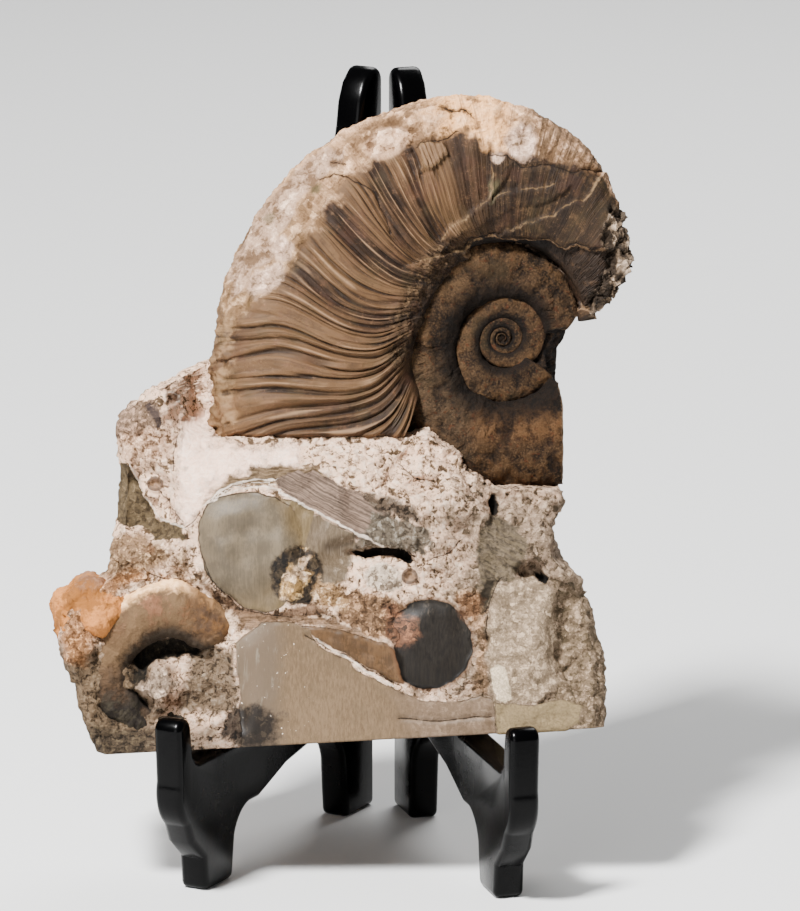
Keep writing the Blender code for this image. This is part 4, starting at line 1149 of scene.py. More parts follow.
def weather_shell(mesh, pitting):
    """Wears the large shell: pits on its outer edge, cracks, flakes and the broken end."""
    outward_faces(mesh)
    points, normals = get_points(mesh), get_normals(mesh)
    angle, share = stored(mesh, "angle"), stored(mesh, "share")
    spots = seen_at(points)
    fade_at = between(angle, FADE) + 0.06 * fractal(points, 4.0, 13.0, 4, 0.7)
    worn = ease(share, fade_at - 0.05, fade_at + 0.09)
    facing = points[:, 2] > -14.5
    wavy = wavered(spots, points)
    crack_side, crack_away = from_lines(wavy, SHELL_CRACKS)
    light_side, light_away = from_lines(wavy, LIT_FLAKE_EDGES)
    broken = inside_outline(wavy, BROKEN_END)
    flake = inside_outline(wavy, FLAKE)
    margin = ease(0.2 - share, 0.0, 0.1) * ease(angle, 100.0, 125.0) * ease(-angle, -200.0, -185.0)
    lumps = fractal(points, 3.0, 8.1, 4, 0.8)
    grains = fractal(points, 0.8, 1.4, 2, 0.8)
    relief = worn * (0.9 * lumps + 0.35 * grains) * pitting
    relief += (1.0 - worn) * (0.10 * lumps + 0.03 * grains)
    relief -= np.where(facing, 0.28 * np.exp(-(crack_away / 0.3) ** 2), 0.0)
    relief += np.where(facing, 0.12 * np.exp(-(light_away / 0.3) ** 2), 0.0)
    relief -= np.where(facing, 0.45 * ease(-flake, -0.2, 0.3), 0.0)
    scar = inside_any(spots, [SCAR])
    relief += np.where(facing, 0.14 * ease(-scar, -0.1, 0.5) * np.sin(6.0 * scar + 1.5 * lumps), 0.0)
    stepped = ease(angle, 172.0, 180.0) * ease(share, 0.86, 0.93)
    relief += np.where(facing, stepped * (0.7 * chipped(points, 3.4, 3.7) + 0.8 * lumps), 0.0)
    layer = (ease(light_side, -0.15, 0.15) - 0.5) * ease(-light_away, -4.5, -0.3)
    relief += np.where(facing, 0.7 * layer, 0.0)
    ledge = inside_outline(wavy, SHADOW_UNDER_LEDGE)
    relief -= np.where(facing, 1.0 * ease(-ledge, -0.15, 0.25), 0.0)
    relief += np.where(facing, margin * (0.7 * chipped(points, 2.6, 9.3) + 0.4 * lumps), 0.0)
    ragged = ease(-broken, -0.5, 0.8)
    relief += ragged * (1.1 * fractal(points, 3.2, 5.5, 4, 0.7) - 0.3)
    relief += (ragged + 0.3 * worn) * 0.9 * chipped(points, 2.4, 6.1)
    points = points + normals * relief[:, None]
    points[:, 2] -= 4.5 * ease(spots[:, 1], 433.0, 446.0) * ease(angle, 190.0, 200.0)
    points = clear_of_leaves(points, 3.5)
    inside_rock = np.maximum(points[:, 2], back_height(points[:, 0], points[:, 1]) + 1.5)
    points[:, 2] = np.where(angle > 186.0, inside_rock, points[:, 2])
    hidden = np.where(facing, 0.0, 50.0)
    for name, values in (("crack_side", crack_side), ("crack_away", crack_away), ("light_side", light_side),
                         ("light_away", light_away), ("flake", flake), ("scar", scar), ("ledge", ledge),
                         ("patches", inside_any(wavy, WORN_PATCHES)), ("green", inside_any(wavy, GREEN_SPOTS)),
                         ("square", inside_outline(wavy, PALE_SQUARE))):
        store(mesh, name, values + hidden)
    for name, values in (("relief", relief), ("worn", worn), ("broken_end", broken), ("margin", margin),
                         ("seen_x", spots[:, 0])):
        store(mesh, name, values)
    return points


FADE = ((15.0, 0.96), (50.0, 0.95), (60.0, 0.9), (70.0, 0.76), (78.0, 0.66), (92.0, 0.62), (96.0, 0.64),
        (100.0, 0.74), (120.0, 0.74), (150.0, 0.7), (165.0, 0.72), (174.0, 0.82), (180.0, 0.97), (221.0, 0.97))
DENSER_FRONT = ((0.0, 0.0), (0.39, 0.25), (0.78, 0.5), (0.89, 0.75), (1.0, 1.0))


def build_large_shell(material):
    """The last whorl, with its swept ribs, worn edge and broken end."""
    settings = bpy.context.scene.ammonite_shell
    tables = {"around": DENSER_FRONT, "broken": BROKEN_RIM, "seam": OUTER_SEAM, "phase": RIB_PHASE,
              "rise": RIB_RISE, "bow": RIB_BOW, "hook": RIB_HOOK, "fade": FADE, "rounding": 1.2,
              "ragged": 0.16, "bundling": 5.0, "wander": 2.4}
    mesh = grown("large_shell", whorl_tree("large_shell", tables), material, Rings=740, Corners=129,
                 First_angle=17.5, Rim_at_mouth=settings.rim / MM, Plane=settings.plane / MM,
                 Rib_height=settings.fine_rib / MM)
    points = weather_shell(mesh, settings.pitting / MM)
    set_points(mesh, placed(points))
    made = new_object("large_shell", mesh, material)
    return finish_piece(made, "root", "stone", "ammonite_stone")


def build_inner_whorls(material):
    """The older whorls within the last one, smoother and darker towards the middle."""
    settings = bpy.context.scene.ammonite_shell
    spans = (("lower_whorl", -152.0, -36.0, 420, 91, 0.015), ("upper_whorl", -352.0, -140.0, 620, 81, 0.015),
             ("inner_coil", -1500.0, -37.0, 1900, 41, 0.02))
    made = []
    for name, first, last, rings, corners, rise in spans:
        tables = {"around": ((0.0, 0.0), (1.0, 1.0)), "broken": ((first, 0.0), (last, 0.0)),
                  "phase": ((first, first / 4.0), (last, last / 4.0)), "rise": ((first, 1.0), (last, 1.0)),
                  "bow": ((first, 0.0), (last, 0.0)), "hook": ((first, 3.0), (last, 3.0)),
                  "fade": ((first, 0.95), (last, 0.95)), "rounding": 2.0, "seam": INNER_SEAM}
        if name == "inner_coil":
            tables.update(rim=COIL_RIM, seam=tuple((turn, 0.3 + 0.42 * size) for turn, size in COIL_RIM),
                          thinnest=0.3)
        mesh = grown(name, whorl_tree(name, tables), material, Rings=rings, Corners=corners,
                     First_angle=first, Last_angle=last, Rim_at_mouth=settings.rim / MM,
                     Plane=settings.plane / MM, Rib_height=rise, Seam_share=SEAM_SHARE)
        outward_faces(mesh)
        points, normals = get_points(mesh), get_normals(mesh)
        away = ease(np.hypot(points[:, 0], points[:, 1]), 2.0, 12.0)
        worn = (0.5 * fractal(points, 3.6, 7.3, 4, 0.8) + 0.4 * chipped(points, 3.8, 4.4)) * (0.2 + 0.8 * away)
        store(mesh, "relief", worn)
        points = clear_of_leaves(points + normals * worn[:, None], 3.5)
        limit = between(points[:, 1], SAWN_EDGE) + 0.25 * coherent(points, 1.6, 4.2)
        over = points[:, 0] > limit
        points[over, 0] = limit[over]
        store(mesh, "sawn", np.where(over, 1.0, 0.0))
        store(mesh, "seen_x", seen_at(points)[:, 0])
        store(mesh, "seen_y", seen_at(points)[:, 1])
        set_points(mesh, placed(points))
        piece = new_object(name, mesh, material)
        made.append(finish_piece(piece, "root", "stone", "ammonite_stone"))
    return made


def shell_finish():
    """Brown ribbed shell, pale where it is worn, with cracks and flakes; painted shade in its grooves, seams, hollows,
    under its ledge and on its right-hand flank, and painted highlights on its crests and edges.
    """
    settings = bpy.context.scene.ammonite_shell
    f = Finish("ribbed_shell")
    wide = f.noise(f.at, 0.1, 3.0)
    middle = f.noise(f.at, 0.5, 4.0, 0.65)
    fine = f.noise(f.at, 2.5, 4.0, 0.7)
    twist = f.add("ShaderNodeTexNoise", None, {"Vector": f.at, "Scale": 0.6, "Detail": 3.0}, "Color")
    chip, chip_tone = f.chips(f.vector("ADD", f.at, f.vector("SCALE", twist, scale=1.6)), 0.6)
    angle, share, rib = f.attribute("angle"), f.attribute("share"), f.attribute("rib")
    relief = f.attribute("relief")
    part = f.math("FRACT", rib + 100.0)
    ribbed = f.attribute("ribbed")
    groove = f.step((part * 2.0 - 1.0).size() + (fine - 0.5) * 0.4, 0.5, 0.95)
    strong = f.step(angle, 94, 106)
    lines = f.step((f.math("FRACT", rib * 3.0 + middle * 0.6 + 100.0) * 2.0 - 1.0).size(), 0.4, 1.0)
    streaks = f.noise(f.join(rib * 0.7, share * 0.8, 0.0), 1.0, 4.0, 0.7)
    bundle = f.attribute("bundle") + (middle - 0.5) * 0.25
    high = f.step(bundle, 0.48, 0.62)
    low = f.step(bundle, 0.5, 0.36)
    flank = f.mix(f.step(wide + (middle - 0.5) * 0.7, 0.38, 0.62), paint(settings.flank), colour("6b5139"))
    # Raised bundles of ribs are painted lighter and sunken ones darker: painted light and shade that follow the
    # bundles' relief.
    flank = f.mix(high * 0.6, flank, colour("94785a"))
    flank = f.mix(low * 0.9, flank, colour("3b2617"))
    flank = f.mix(f.step(middle, 0.56, 0.7) * 0.4, flank, colour("8d6c55"))
    # The right-hand flank: its streaks are the shell's own, and its darker tone is painted shade on the side away from
    # the light.
    tan = f.mix(f.step(streaks + (middle - 0.5) * 0.6, 0.4, 0.6), colour("3a2817"), colour("533f29"))
    tan = f.mix(f.step(middle + (streaks - 0.5), 0.58, 0.72) * 0.6, tan, colour("7d654a"))
    tan = f.mix(f.step(angle, 62, 40) * 0.4, tan, colour("705840"))
    flank = f.mix(strong, tan, flank)
    kept = f.step(f.noise(f.join(rib * 0.8, share * 2.2, 0.0), 1.0, 2.0), 0.36, 0.6)
    bold = f.step(angle, 98, 122)
    flank = f.mix(lines * ribbed * (0.15 + bold * 0.2), flank, colour("38240f"))
    # Painted shade in the grooves between the ribs.
    flank = f.mix(groove * ribbed * kept * (0.15 + bold * 0.75), flank, paint(settings.groove))
    # Painted highlights along the ribs' crests.
    crest = f.step((part * 2.0 - 1.0).size(), 0.3, 0.0) * f.step(1.0 - kept + (wide - 0.5) * 1.2, 0.4, 0.9)
    flank = f.mix(crest * ribbed * bold * 0.6, flank, colour("c4ad95"))
    smooth = f.step(angle, 91, 97) * f.step(angle, 111, 104)
    flank = f.mix(smooth * 0.5, flank, colour("46301c"))
    # The worn margin, coloured by its chips' height: painted shade on their low parts and painted light on their high
    # parts.
    edge = f.attribute("margin") * f.step(fine, 0.3, 0.6)
    flank = f.mix(edge * 0.85, flank, f.mix(f.step(chip + (middle - 0.5) * 0.6, -0.08, 0.12), colour("4a3825"),
                                            colour("a18a6f")))
    # Painted shade on the steep umbilical wall along the inner seam.
    flank = f.mix(f.step(share, 0.12, 0.0) * 0.8, flank, colour("2a1b10"))
    strips = f.step(angle, 170, 178) * f.step(share + (middle - 0.5) * 0.12, 0.86, 0.92)
    flank = f.mix(strips * f.step(streaks + (middle - 0.5) * 0.5, 0.42, 0.6) * 0.6, flank, colour("c2ab8f"))
    grain = fine * 0.7 + middle * 0.3
    flank = f.mix(f.step(grain, 0.53, 0.68) * 0.4, flank, colour("b0957a"))
    flank = f.mix(f.step(grain, 0.45, 0.32) * 0.45, flank, colour("3a2817"))
    hue = f.noise(f.at, 0.22, 3.0, 0.6)
    flank = f.mix(f.step(hue, 0.54, 0.66) * 0.2, flank, colour("65593d"))
    flank = f.mix(f.step(hue, 0.46, 0.34) * 0.2, flank, colour("7d5b4a"))

    # Three tones by noise and the relief's height: partly the shell's own mottling, partly painted shade in the lows
    # and painted highlights on the highs.
    def broken_as(low_tone, mid, high_tone, rough=0.12):
        lit = middle * 0.7 + fine * 0.3 + chip * rough + relief * 0.2
        return f.mix(f.step(lit, 0.46, 0.68) * 0.9, f.mix(f.step(lit, 0.46, 0.32), colour(mid), colour(low_tone)),
                     colour(high_tone))

    pale = f.mix(f.step(wide + (chip_tone - 0.5) * 0.3 + (middle - 0.5) * 0.5, 0.36, 0.64), broken_as(
        "a98d70", "d3bba3", "e9d6c5"), broken_as("8c7156", "b99f84", "d8c2ac"))
    pale = f.mix(f.step(angle + (middle - 0.5) * 20, 112, 100) * f.step(angle, 84, 92), pale, broken_as(
        "a9895f", "e2c4a2", "f6e2cc"))
    pale = f.mix(f.step(angle + (middle - 0.5) * 14, 88, 80) * 0.9, pale, f.mix(
        f.step(streaks + (middle - 0.5) * 0.4, 0.44, 0.58), broken_as("8f775e", "b99f87", "dcc8b6"),
        colour("6d5841")))
    pale = f.mix(f.step(angle + (middle - 0.5) * 40, 128, 160) * 0.9, pale, broken_as("77603f", "a88e71", "d6c2ac"))
    pale = f.mix(f.step(streaks, 0.54, 0.66) * 0.5, pale, colour("a68c70"))
    pale = f.mix(f.step(f.noise(f.at, 0.28, 4.0, 0.6), 0.56, 0.66) * 0.45, pale, colour("8f7a62"))
    pale = f.mix(lines * 0.14, pale, colour("6b5138"))
    # Painted shade in the relief's hollows.
    pale = f.mix(f.step(relief + (fine - 0.5) * 0.3, -0.05, -0.4) * 0.7, pale, colour("7b6148"))
    worn = f.step(f.attribute("worn") + (middle - 0.5) * 0.6 + (streaks - 0.5) * 0.6, 0.15, 0.85) * f.step(
        angle, 178, 172)
    base = f.mix(worn, flank, pale)
    rough_edge = (middle - 0.5) * 0.9 + (fine - 0.5) * 0.5

    def inside(name, soft=0.1, ragged=1.0):
        return f.step(f.attribute(name) + rough_edge * ragged, soft, -soft)

    def stained(under, stains):
        """Lays regions on a colour: name, softness, raggedness, strength, and one tone or three."""
        for name, soft, ragged, strength, *tones in stains:
            tone = broken_as(*tones) if len(tones) > 1 else colour(tones[0])
            under = f.mix(inside(name, soft, ragged) * strength, under, tone)
        return under

    base = stained(base, (
        ("flake", 0.3, 1.8, 0.75, "a38b75", "cbb8a8", "e9dcd1"),
        ("scar", 0.5, 1.5, 0.7, "9d826a", "d3bda9", "e9d9cb"),
        ("patches", 0.5, 3.0, 0.85, "9a8570", "cbb8a9", "e8dad0"),
        ("square", 0.15, 0.6, 0.45, "b39b83"),
        ("green", 0.4, 2.0, 0.6, "7d765b")))
    # Under the ledge: painted shadow, near black on the left, and on the right the shell's own dark brown deepened by
    # painted shade.
    base = f.mix(inside("ledge", 0.25, 1.2) * 0.92, base, f.mix(
        f.step(f.attribute("seen_x") + (middle - 0.5) * 30, 530, 575), broken_as("160e07", "2b1d12", "4b3826"),
        broken_as("3d2a18", "5f4730", "806549")))
    # Painted highlight along the ledge's edge.
    lip = f.step(f.attribute("ledge").size() + (fine - 0.5) * 0.5, 0.4, 0.1) * f.step(middle, 0.4, 0.5)
    base = f.mix(lip * 0.7, base, colour("b79f85"))
    base = f.mix(inside("broken_end", 0.25, 1.5), base, broken_as("4a3b2b", "968573", "cfc2b4", 0.3))
    crack = f.step(f.attribute("crack_side").size() + (fine - 0.5) * 0.3, 0.15, 0.03) * f.step(
        f.attribute("crack_away"), 0.7, 0.45)
    base = f.mix(crack * 0.8, base, colour("2c1d12"))
    # The flake edges: their own pale broken edge with a painted highlight on it.
    light = f.step(f.attribute("light_side").size() + (fine - 0.5) * 0.4, 0.15, 0.02) * f.step(
        f.attribute("light_away"), 0.7, 0.5)
    base = f.mix(light * f.step(middle, 0.4, 0.56) * 0.6, base, colour("b09a7c"))
    flakes = f.math("SINE", share * 80.0 + middle * 16.0) * worn * 0.07
    height = fine * (0.11 + worn * 0.14) + flakes - groove * ribbed * kept * 0.1 * (0.3 + bold) - crack * 0.12
    height = height - lines * f.step(share, 0.02, 0.1) * (0.01 + ribbed * 0.03)
    height = height + (edge + worn * 0.5) * (chip * 0.25 + middle * 0.4)
    height = height + inside("broken_end", 0.25, 1.5) * (chip + fine * 0.3)
    roughness = 0.66 + worn * 0.28 + (fine - 0.5) * 0.1
    return f.close(base, roughness, height, Specular_IOR_Level=0.2)


def inner_finish():
    """The older whorls: dark brown and rust, lighter along their outer edges; their hollows carry painted shade, and
    their inner seams dark patina and painted shade.
    """
    f = Finish("inner_shell")
    wide = f.noise(f.at, 0.16, 3.0)
    middle = f.noise(f.at, 0.6, 5.0, 0.68)
    fine = f.noise(f.at, 3.0, 4.0, 0.7)
    share, angle = f.attribute("share"), f.attribute("angle")
    across, down = f.attribute("seen_x"), f.attribute("seen_y")
    relief = f.attribute("relief")
    # A random mottle, partly painted shade where the relief is low.
    mottle_and_shade = middle * 0.6 + fine * 0.2 + wide * 0.3 + relief * 0.1
    base = f.mix(f.step(mottle_and_shade, 0.44, 0.58), colour("2f2113"), colour("58442f"))
    upper = f.step(angle, -348, -330)
    left = upper * f.step(across + (middle - 0.5) * 40, 500, 470) * f.step(share, 0.25, 0.5)
    base = f.mix(left * 0.75, base, f.mix(f.step(mottle_and_shade, 0.46, 0.6), colour("4e3c2b"), colour("6d573f")))
    low = f.step(down + (middle - 0.5) * 20, 395, 415)
    base = f.mix(low * 0.8, base, f.mix(f.step(mottle_and_shade, 0.46, 0.6), colour("3a2a1a"), colour("59442f")))
    ridge = f.step(share + (middle - 0.5) * 0.25, 0.45, 0.8) * f.step(share, 1.02, 0.92)
    coil = f.step(angle, -356, -366)
    base = f.mix(f.step(angle, -430, -470) * 0.6, base, f.mix(f.step(mottle_and_shade, 0.46, 0.6), colour("20160c"),
                                                              colour("3f3020")))
    ridge = ridge * (1.0 - f.step(angle, -430, -470) * 0.6)
    base = f.mix(ridge * coil * 0.8, base, f.mix(f.step(mottle_and_shade, 0.46, 0.6), colour("54402b"), colour("7a6045")))
    base = f.mix(ridge * upper * f.step(middle, 0.42, 0.56) * 0.55, base, colour("6a5136"))
    base = f.mix(f.step(wide + (middle - 0.5) * 0.4, 0.55, 0.64) * f.step(across, 500, 540) * 0.5, base, colour("532f1c"))
    grey = f.step(across + (middle - 0.5) * 40, 490, 455) * f.step(down + (middle - 0.5) * 40, 350, 390)
    base = f.mix(grey * 0.7, base, f.mix(f.step(mottle_and_shade, 0.44, 0.58), colour("4a3c2d"), colour("655442")))
    tan = f.step(down + (middle - 0.5) * 16, 402, 412) * f.step(down + (middle - 0.5) * 30, 452, 432)
    base = f.mix(tan * f.step(across, 462, 490) * 0.75, base, f.mix(
        f.step(mottle_and_shade, 0.42, 0.58), colour("5a4029"), colour("86684a")))
    rust = f.step(f.noise(f.at, 1.1, 3.0, 0.6), 0.6, 0.68)
    base = f.mix(rust * 0.5, base, colour("6e3f24"))
    base = f.mix(f.step(fine, 0.52, 0.66) * 0.5, base, colour("856f56"))
    base = f.mix(f.step(fine, 0.46, 0.34) * 0.5, base, colour("1c130b"))
    base = f.mix(f.step(wide, 0.56, 0.66) * 0.45, base, colour("34301f"))
    # Painted shade in the relief's hollows.
    base = f.mix(f.step(relief + (fine - 0.5) * 0.3, -0.05, -0.35) * 0.6, base, colour("1c120a"))
    # The dark inner part of each whorl: the shell's dark patina and painted shade in the umbilical seam.
    base = f.mix(f.step(share + (middle - 0.5) * 0.3, 0.46, 0.12) * 0.88, base, colour("150d07"))
    base = f.mix(f.attribute("sawn") * 0.9, base, colour("8d7a64"))
    return f.close(base, 0.78 + (fine - 0.5) * 0.2, fine * 0.2 + middle * 0.6, Specular_IOR_Level=0.12)


# The small shell and the lump

SMALL_COIL = (-55.5, -56.3)
SMALL_RIM = ((30.0, 15.4), (80.0, 17.4), (148.0, 13.4), (240.0, 10.0), (330.0, 7.4))
SMALL_SPAN = (34.0, 318.0)
SMALL_HALF = ((34.0, 3.2), (50.0, 3.9), (80.0, 4.7), (115.0, 4.5), (148.0, 3.8), (200.0, 3.8), (240.0, 3.1),
              (330.0, 1.8))
SMALL_THICKNESS = 0.72
SMALL_PLANE = -3.6
SMALL_SINK = 0.011


def build_small_shell(material):
    """The small shell's tube at the lower left, thinner as it coils inwards."""
    rings, count = 420, 72
    angle = np.linspace(*SMALL_SPAN, rings)[:, None]
    outer = between(angle, SMALL_RIM)
    half = between(angle, SMALL_HALF)
    end = np.clip(np.minimum(angle - SMALL_SPAN[0], SMALL_SPAN[1] - angle) / 9.0, 0.0, 1.0)
    tube = half * np.sqrt(1.0 - (1.0 - end) ** 2)
    turn = (2.0 * math.pi * np.arange(count) / count)[None, :]
    radius = outer - half + tube * np.cos(turn)
    u = SMALL_COIL[0] + radius * np.cos(np.radians(angle))
    v = SMALL_COIL[1] + radius * np.sin(np.radians(angle))
    w = SMALL_PLANE - SMALL_SINK * (angle - SMALL_SPAN[0]) + SMALL_THICKNESS * tube * np.sin(turn)
    points = np.stack((u, v, w), axis=-1).reshape(-1, 3)
    faces = [face[::-1] for face in joined_rings(rings, count)]
    faces += [tuple(range(count)), tuple(range(rings * count - 1, (rings - 1) * count - 1, -1))]
    mesh = new_mesh("small_shell", points, faces)
    outward_faces(mesh)
    normals = get_normals(mesh)
    relief = 0.35 * fractal(points, 2.6, 3.9, 4, 0.8)
    points = points + normals * relief[:, None]
    spots = seen_at(points)
    store(mesh, "relief", relief)
    store(mesh, "share", ((1.0 + np.cos(turn)) / 2.0).repeat(rings, 0).ravel())
    store(mesh, "angle", angle.repeat(count, 1).ravel())
    store(mesh, "seen_x", spots[:, 0])
    store(mesh, "seen_y", spots[:, 1])
    set_points(mesh, placed(points))
    return finish_piece(new_object("small_shell", mesh, material), "root", "stone", "ammonite_stone")


def small_finish():
    """The small shell: pale at its rim, brown and orange on its side, with painted shade on its inner and lower sides
    and in its hollows.
    """
    f = Finish("small_shell")
    wide = f.noise(f.at, 0.25, 3.0)
    middle = f.noise(f.at, 0.8, 4.0, 0.65)
    fine = f.noise(f.at, 3.0, 4.0, 0.7)
    share, angle = f.attribute("share"), f.attribute("angle")
    across, down = f.attribute("seen_x"), f.attribute("seen_y")
    base = f.mix(f.step(wide + (middle - 0.5) * 0.6, 0.38, 0.62), colour("937b5f"), colour("80674b"))
    base = f.mix(f.step(middle + (fine - 0.5) * 0.3, 0.54, 0.66) * 0.45, base, colour("b39a80"))
    top = f.step(down + (middle - 0.5) * 30, 640, 605)
    base = f.mix(f.step(wide * 0.6 + middle * 0.4, 0.5, 0.6) * top * 0.6, base, colour("b48a70"))
    base = f.mix(f.step(share + (middle - 0.5) * 0.3, 0.74, 0.96) * top, base,
                 f.mix(f.step(middle, 0.4, 0.6), colour("e2c8a6"), colour("f8e6cf")))
    orange = f.step(across + (middle - 0.5) * 30, 178, 200) * f.step(down + (middle - 0.5) * 20, 648, 628)
    base = f.mix(orange * 0.9, base, f.mix(f.step(middle + (wide - 0.5) * 0.5, 0.36, 0.64), colour("5f4630"),
                                           colour("8f6c44")))
    base = f.mix(f.step(down + (middle - 0.5) * 40, 655, 695) * 0.85, base, f.mix(
        f.step(middle, 0.4, 0.6), colour("5d4733"), colour("3a2c1e")))
    # Painted shadow on the tube's lower side.
    base = f.mix(f.step(down + (middle - 0.5) * 24, 690, 708) * 0.9, base, f.mix(
        f.step(middle, 0.42, 0.62), colour("1d170f"), colour("4a4232")))
    # Painted shade on the tube's inner side, towards the coil's middle.
    base = f.mix(f.step(share + (middle - 0.5) * 0.3, 0.3, 0.08) * 0.85, base, colour("382f24"))
    # Painted shade in the relief's hollows.
    base = f.mix(f.step(f.attribute("relief") + (fine - 0.5) * 0.3, -0.05, -0.25) * 0.5, base, colour("6b5540"))
    return f.close(base, 0.8, fine * 0.16 + middle * 0.4, Specular_IOR_Level=0.25)


KNOB_MIDDLE = (-66.0, -45.8, -9.0)
KNOB_HALF_SIZE = (7.0, 7.4, 8.0)


def build_lump(material):
    """The lump of orange rock at the far left."""
    rings, count = 90, 140
    polar = (math.pi * np.arange(1, rings) / rings)[:, None]
    turn = (2.0 * math.pi * np.arange(count) / count)[None, :]
    way = np.stack((np.sin(polar) * np.cos(turn), -np.cos(polar) * np.ones_like(turn),
                    -np.sin(polar) * np.sin(turn)), axis=-1).reshape(-1, 3)
    way = np.vstack((way, (0.0, -1.0, 0.0), (0.0, 1.0, 0.0)))
    swell = 1.0 + 0.22 * coherent(way, 0.55, 6.2) + 0.05 * fractal(way, 0.25, 2.0, 4, 0.7)
    swell += 0.12 * chipped(way, 0.4, 3.0)
    points = np.array(KNOB_MIDDLE) + np.array(KNOB_HALF_SIZE) * way * swell[:, None]
    first, last = len(way) - 2, len(way) - 1
    faces = joined_rings(rings - 1, count)
    top = (rings - 2) * count
    for step in range(count):
        following = (step + 1) % count
        faces.append((first, following, step))
        faces.append((last, top + step, top + following))
    mesh = new_mesh("orange_lump", points, faces)
    outward_faces(mesh)
    store(mesh, "relief", swell - 1.0)
    set_points(mesh, placed(points))
    return finish_piece(new_object("orange_lump", mesh, material), "root", "stone", "ammonite_stone")


def lump_finish():
    """Orange iron-stained rock."""
    settings = bpy.context.scene.ammonite_rock
    f = Finish("orange_rock")
    wide = f.noise(f.at, 0.2, 3.0)
    middle = f.noise(f.at, 0.7, 4.0, 0.65)
    fine = f.noise(f.at, 2.6, 4.0, 0.7)
    high = f.parts(f.at)[2]
    base = f.mix(f.step(wide + (middle - 0.5) * 0.8, 0.42, 0.6), paint(settings.lump), colour("dcb080"))
    base = f.mix(f.step(high + (middle - 0.5) * 8.0, 47.0, 50.5) * 0.85, base, f.mix(
        f.step(middle, 0.42, 0.58), colour("8f7362"), colour("b89d8b")))
    base = f.mix(f.step(middle, 0.58, 0.68) * 0.5, base, colour("a06f45"))
    base = f.mix(f.step(fine, 0.62, 0.72) * 0.5, base, colour("7a5a40"))
    base = f.mix(f.step(high + (middle - 0.5) * 6.0, 40.0, 36.0) * 0.8, base, colour("86705a"))
    return f.close(base, 0.9, fine * 0.2 + middle * 0.8, Specular_IOR_Level=0.2)


# The easel

PLATE = 5.0
PLATE_GAP = 0.3
BACK_EDGE = 3.6
BARREL_RADIUS = 3.1
BARREL_LENGTH = 12.0
LOWER_BARREL = 28.0
UPPER_BARREL = 92.0
ROD_RADIUS = 1.4
BORE_RADIUS = 1.8
LEAF_ANGLES = {"left": -27.8, "right": 16.5}


def arc(middle, radius, first, last, steps):
    turns = np.radians(np.linspace(first, last, steps + 1))
    return [(middle[0] + radius * math.cos(t), middle[1] + radius * math.sin(t)) for t in turns]


def leaf_outline():
    """One leaf seen from its side, from the rear foot's back corner, as (distance, height)."""
    neck = UPPER_BARREL + BARREL_LENGTH + 1.0
    return [
        (3.6, 0.0), (13.5, 0.0), *arc((22.5, 8.0), 8.4, 165.0, 80.0, 14),
        (34.0, 14.6), (43.5, 11.3), *arc((45.5, 4.9), 6.5, 80.0, 20.0, 8), (52.6, 0.0), (61.6, 0.0),
        (62.2, 5.6), (66.2, 9.2), *arc((62.6, 18.0), 7.6, -50.0, 15.0, 12),
        *arc((68.3, 28.4), 2.2, 10.0, 160.0, 12), (65.8, 26.4), *arc((63.6, 24.7), 2.0, 0.0, -90.0, 8),
        (35.5, 22.7), (8.4, 116.5), (7.7, 120.3), (6.1, 123.5), *arc((2.8, 123.1), 2.4, 60.0, 180.0, 14),
        (0.4, neck + 2.0), (3.6, neck),
    ]


def tube_mesh(name, radius, low, high, sides=48):
    rings = [[(radius * math.cos(2 * math.pi * s / sides), radius * math.sin(2 * math.pi * s / sides), z)
              for s in range(sides)] for z in (low, high)]
    points = [p for ring in rings for p in ring]
    faces = joined_rings(2, sides) + [tuple(range(sides))[::-1], tuple(range(sides, 2 * sides))]
    return plain_mesh(name, points, faces)


def plain_mesh(name, points, faces):
    mesh = bpy.data.meshes.new(name)
    mesh.from_pydata([(p[0] * MM, p[1] * MM, p[2] * MM) for p in points], [], faces)
    return mesh


def helper(name, mesh):
    made = bpy.data.objects.new(name, mesh)
    bpy.context.scene.collection.objects.link(made)
    return made


def leaf_plate(side):
    outline = leaf_outline()
    count = len(outline)
    near, far = side * PLATE_GAP / 2, side * (PLATE + PLATE_GAP / 2)
    points = [(near, -r, z) for r, z in outline] + [(far, -r, z) for r, z in outline]
    faces = [tuple(range(count))[::-1], tuple(range(count, 2 * count))]
    for corner in range(count):
        following = (corner + 1) % count
        faces.append((corner, following, count + following, count + corner))
    mesh = plain_mesh("plate", points, faces)
    outward_faces(mesh)
    return mesh


def web_mesh(side, low, high):
    x0, x1 = sorted((side * PLATE_GAP / 2, side * (PLATE_GAP / 2 + 3.0)))
    depth = BACK_EDGE + 1.2
    points = [(x, y, z) for z in (low + 0.2, high - 0.2) for x, y in ((x0, -depth), (x1, -depth), (x1, 0.0),
                                                                    (x0, 0.0))]
    return plain_mesh("web", points, joined_rings(2, 4) + [(3, 2, 1, 0), (4, 5, 6, 7)])


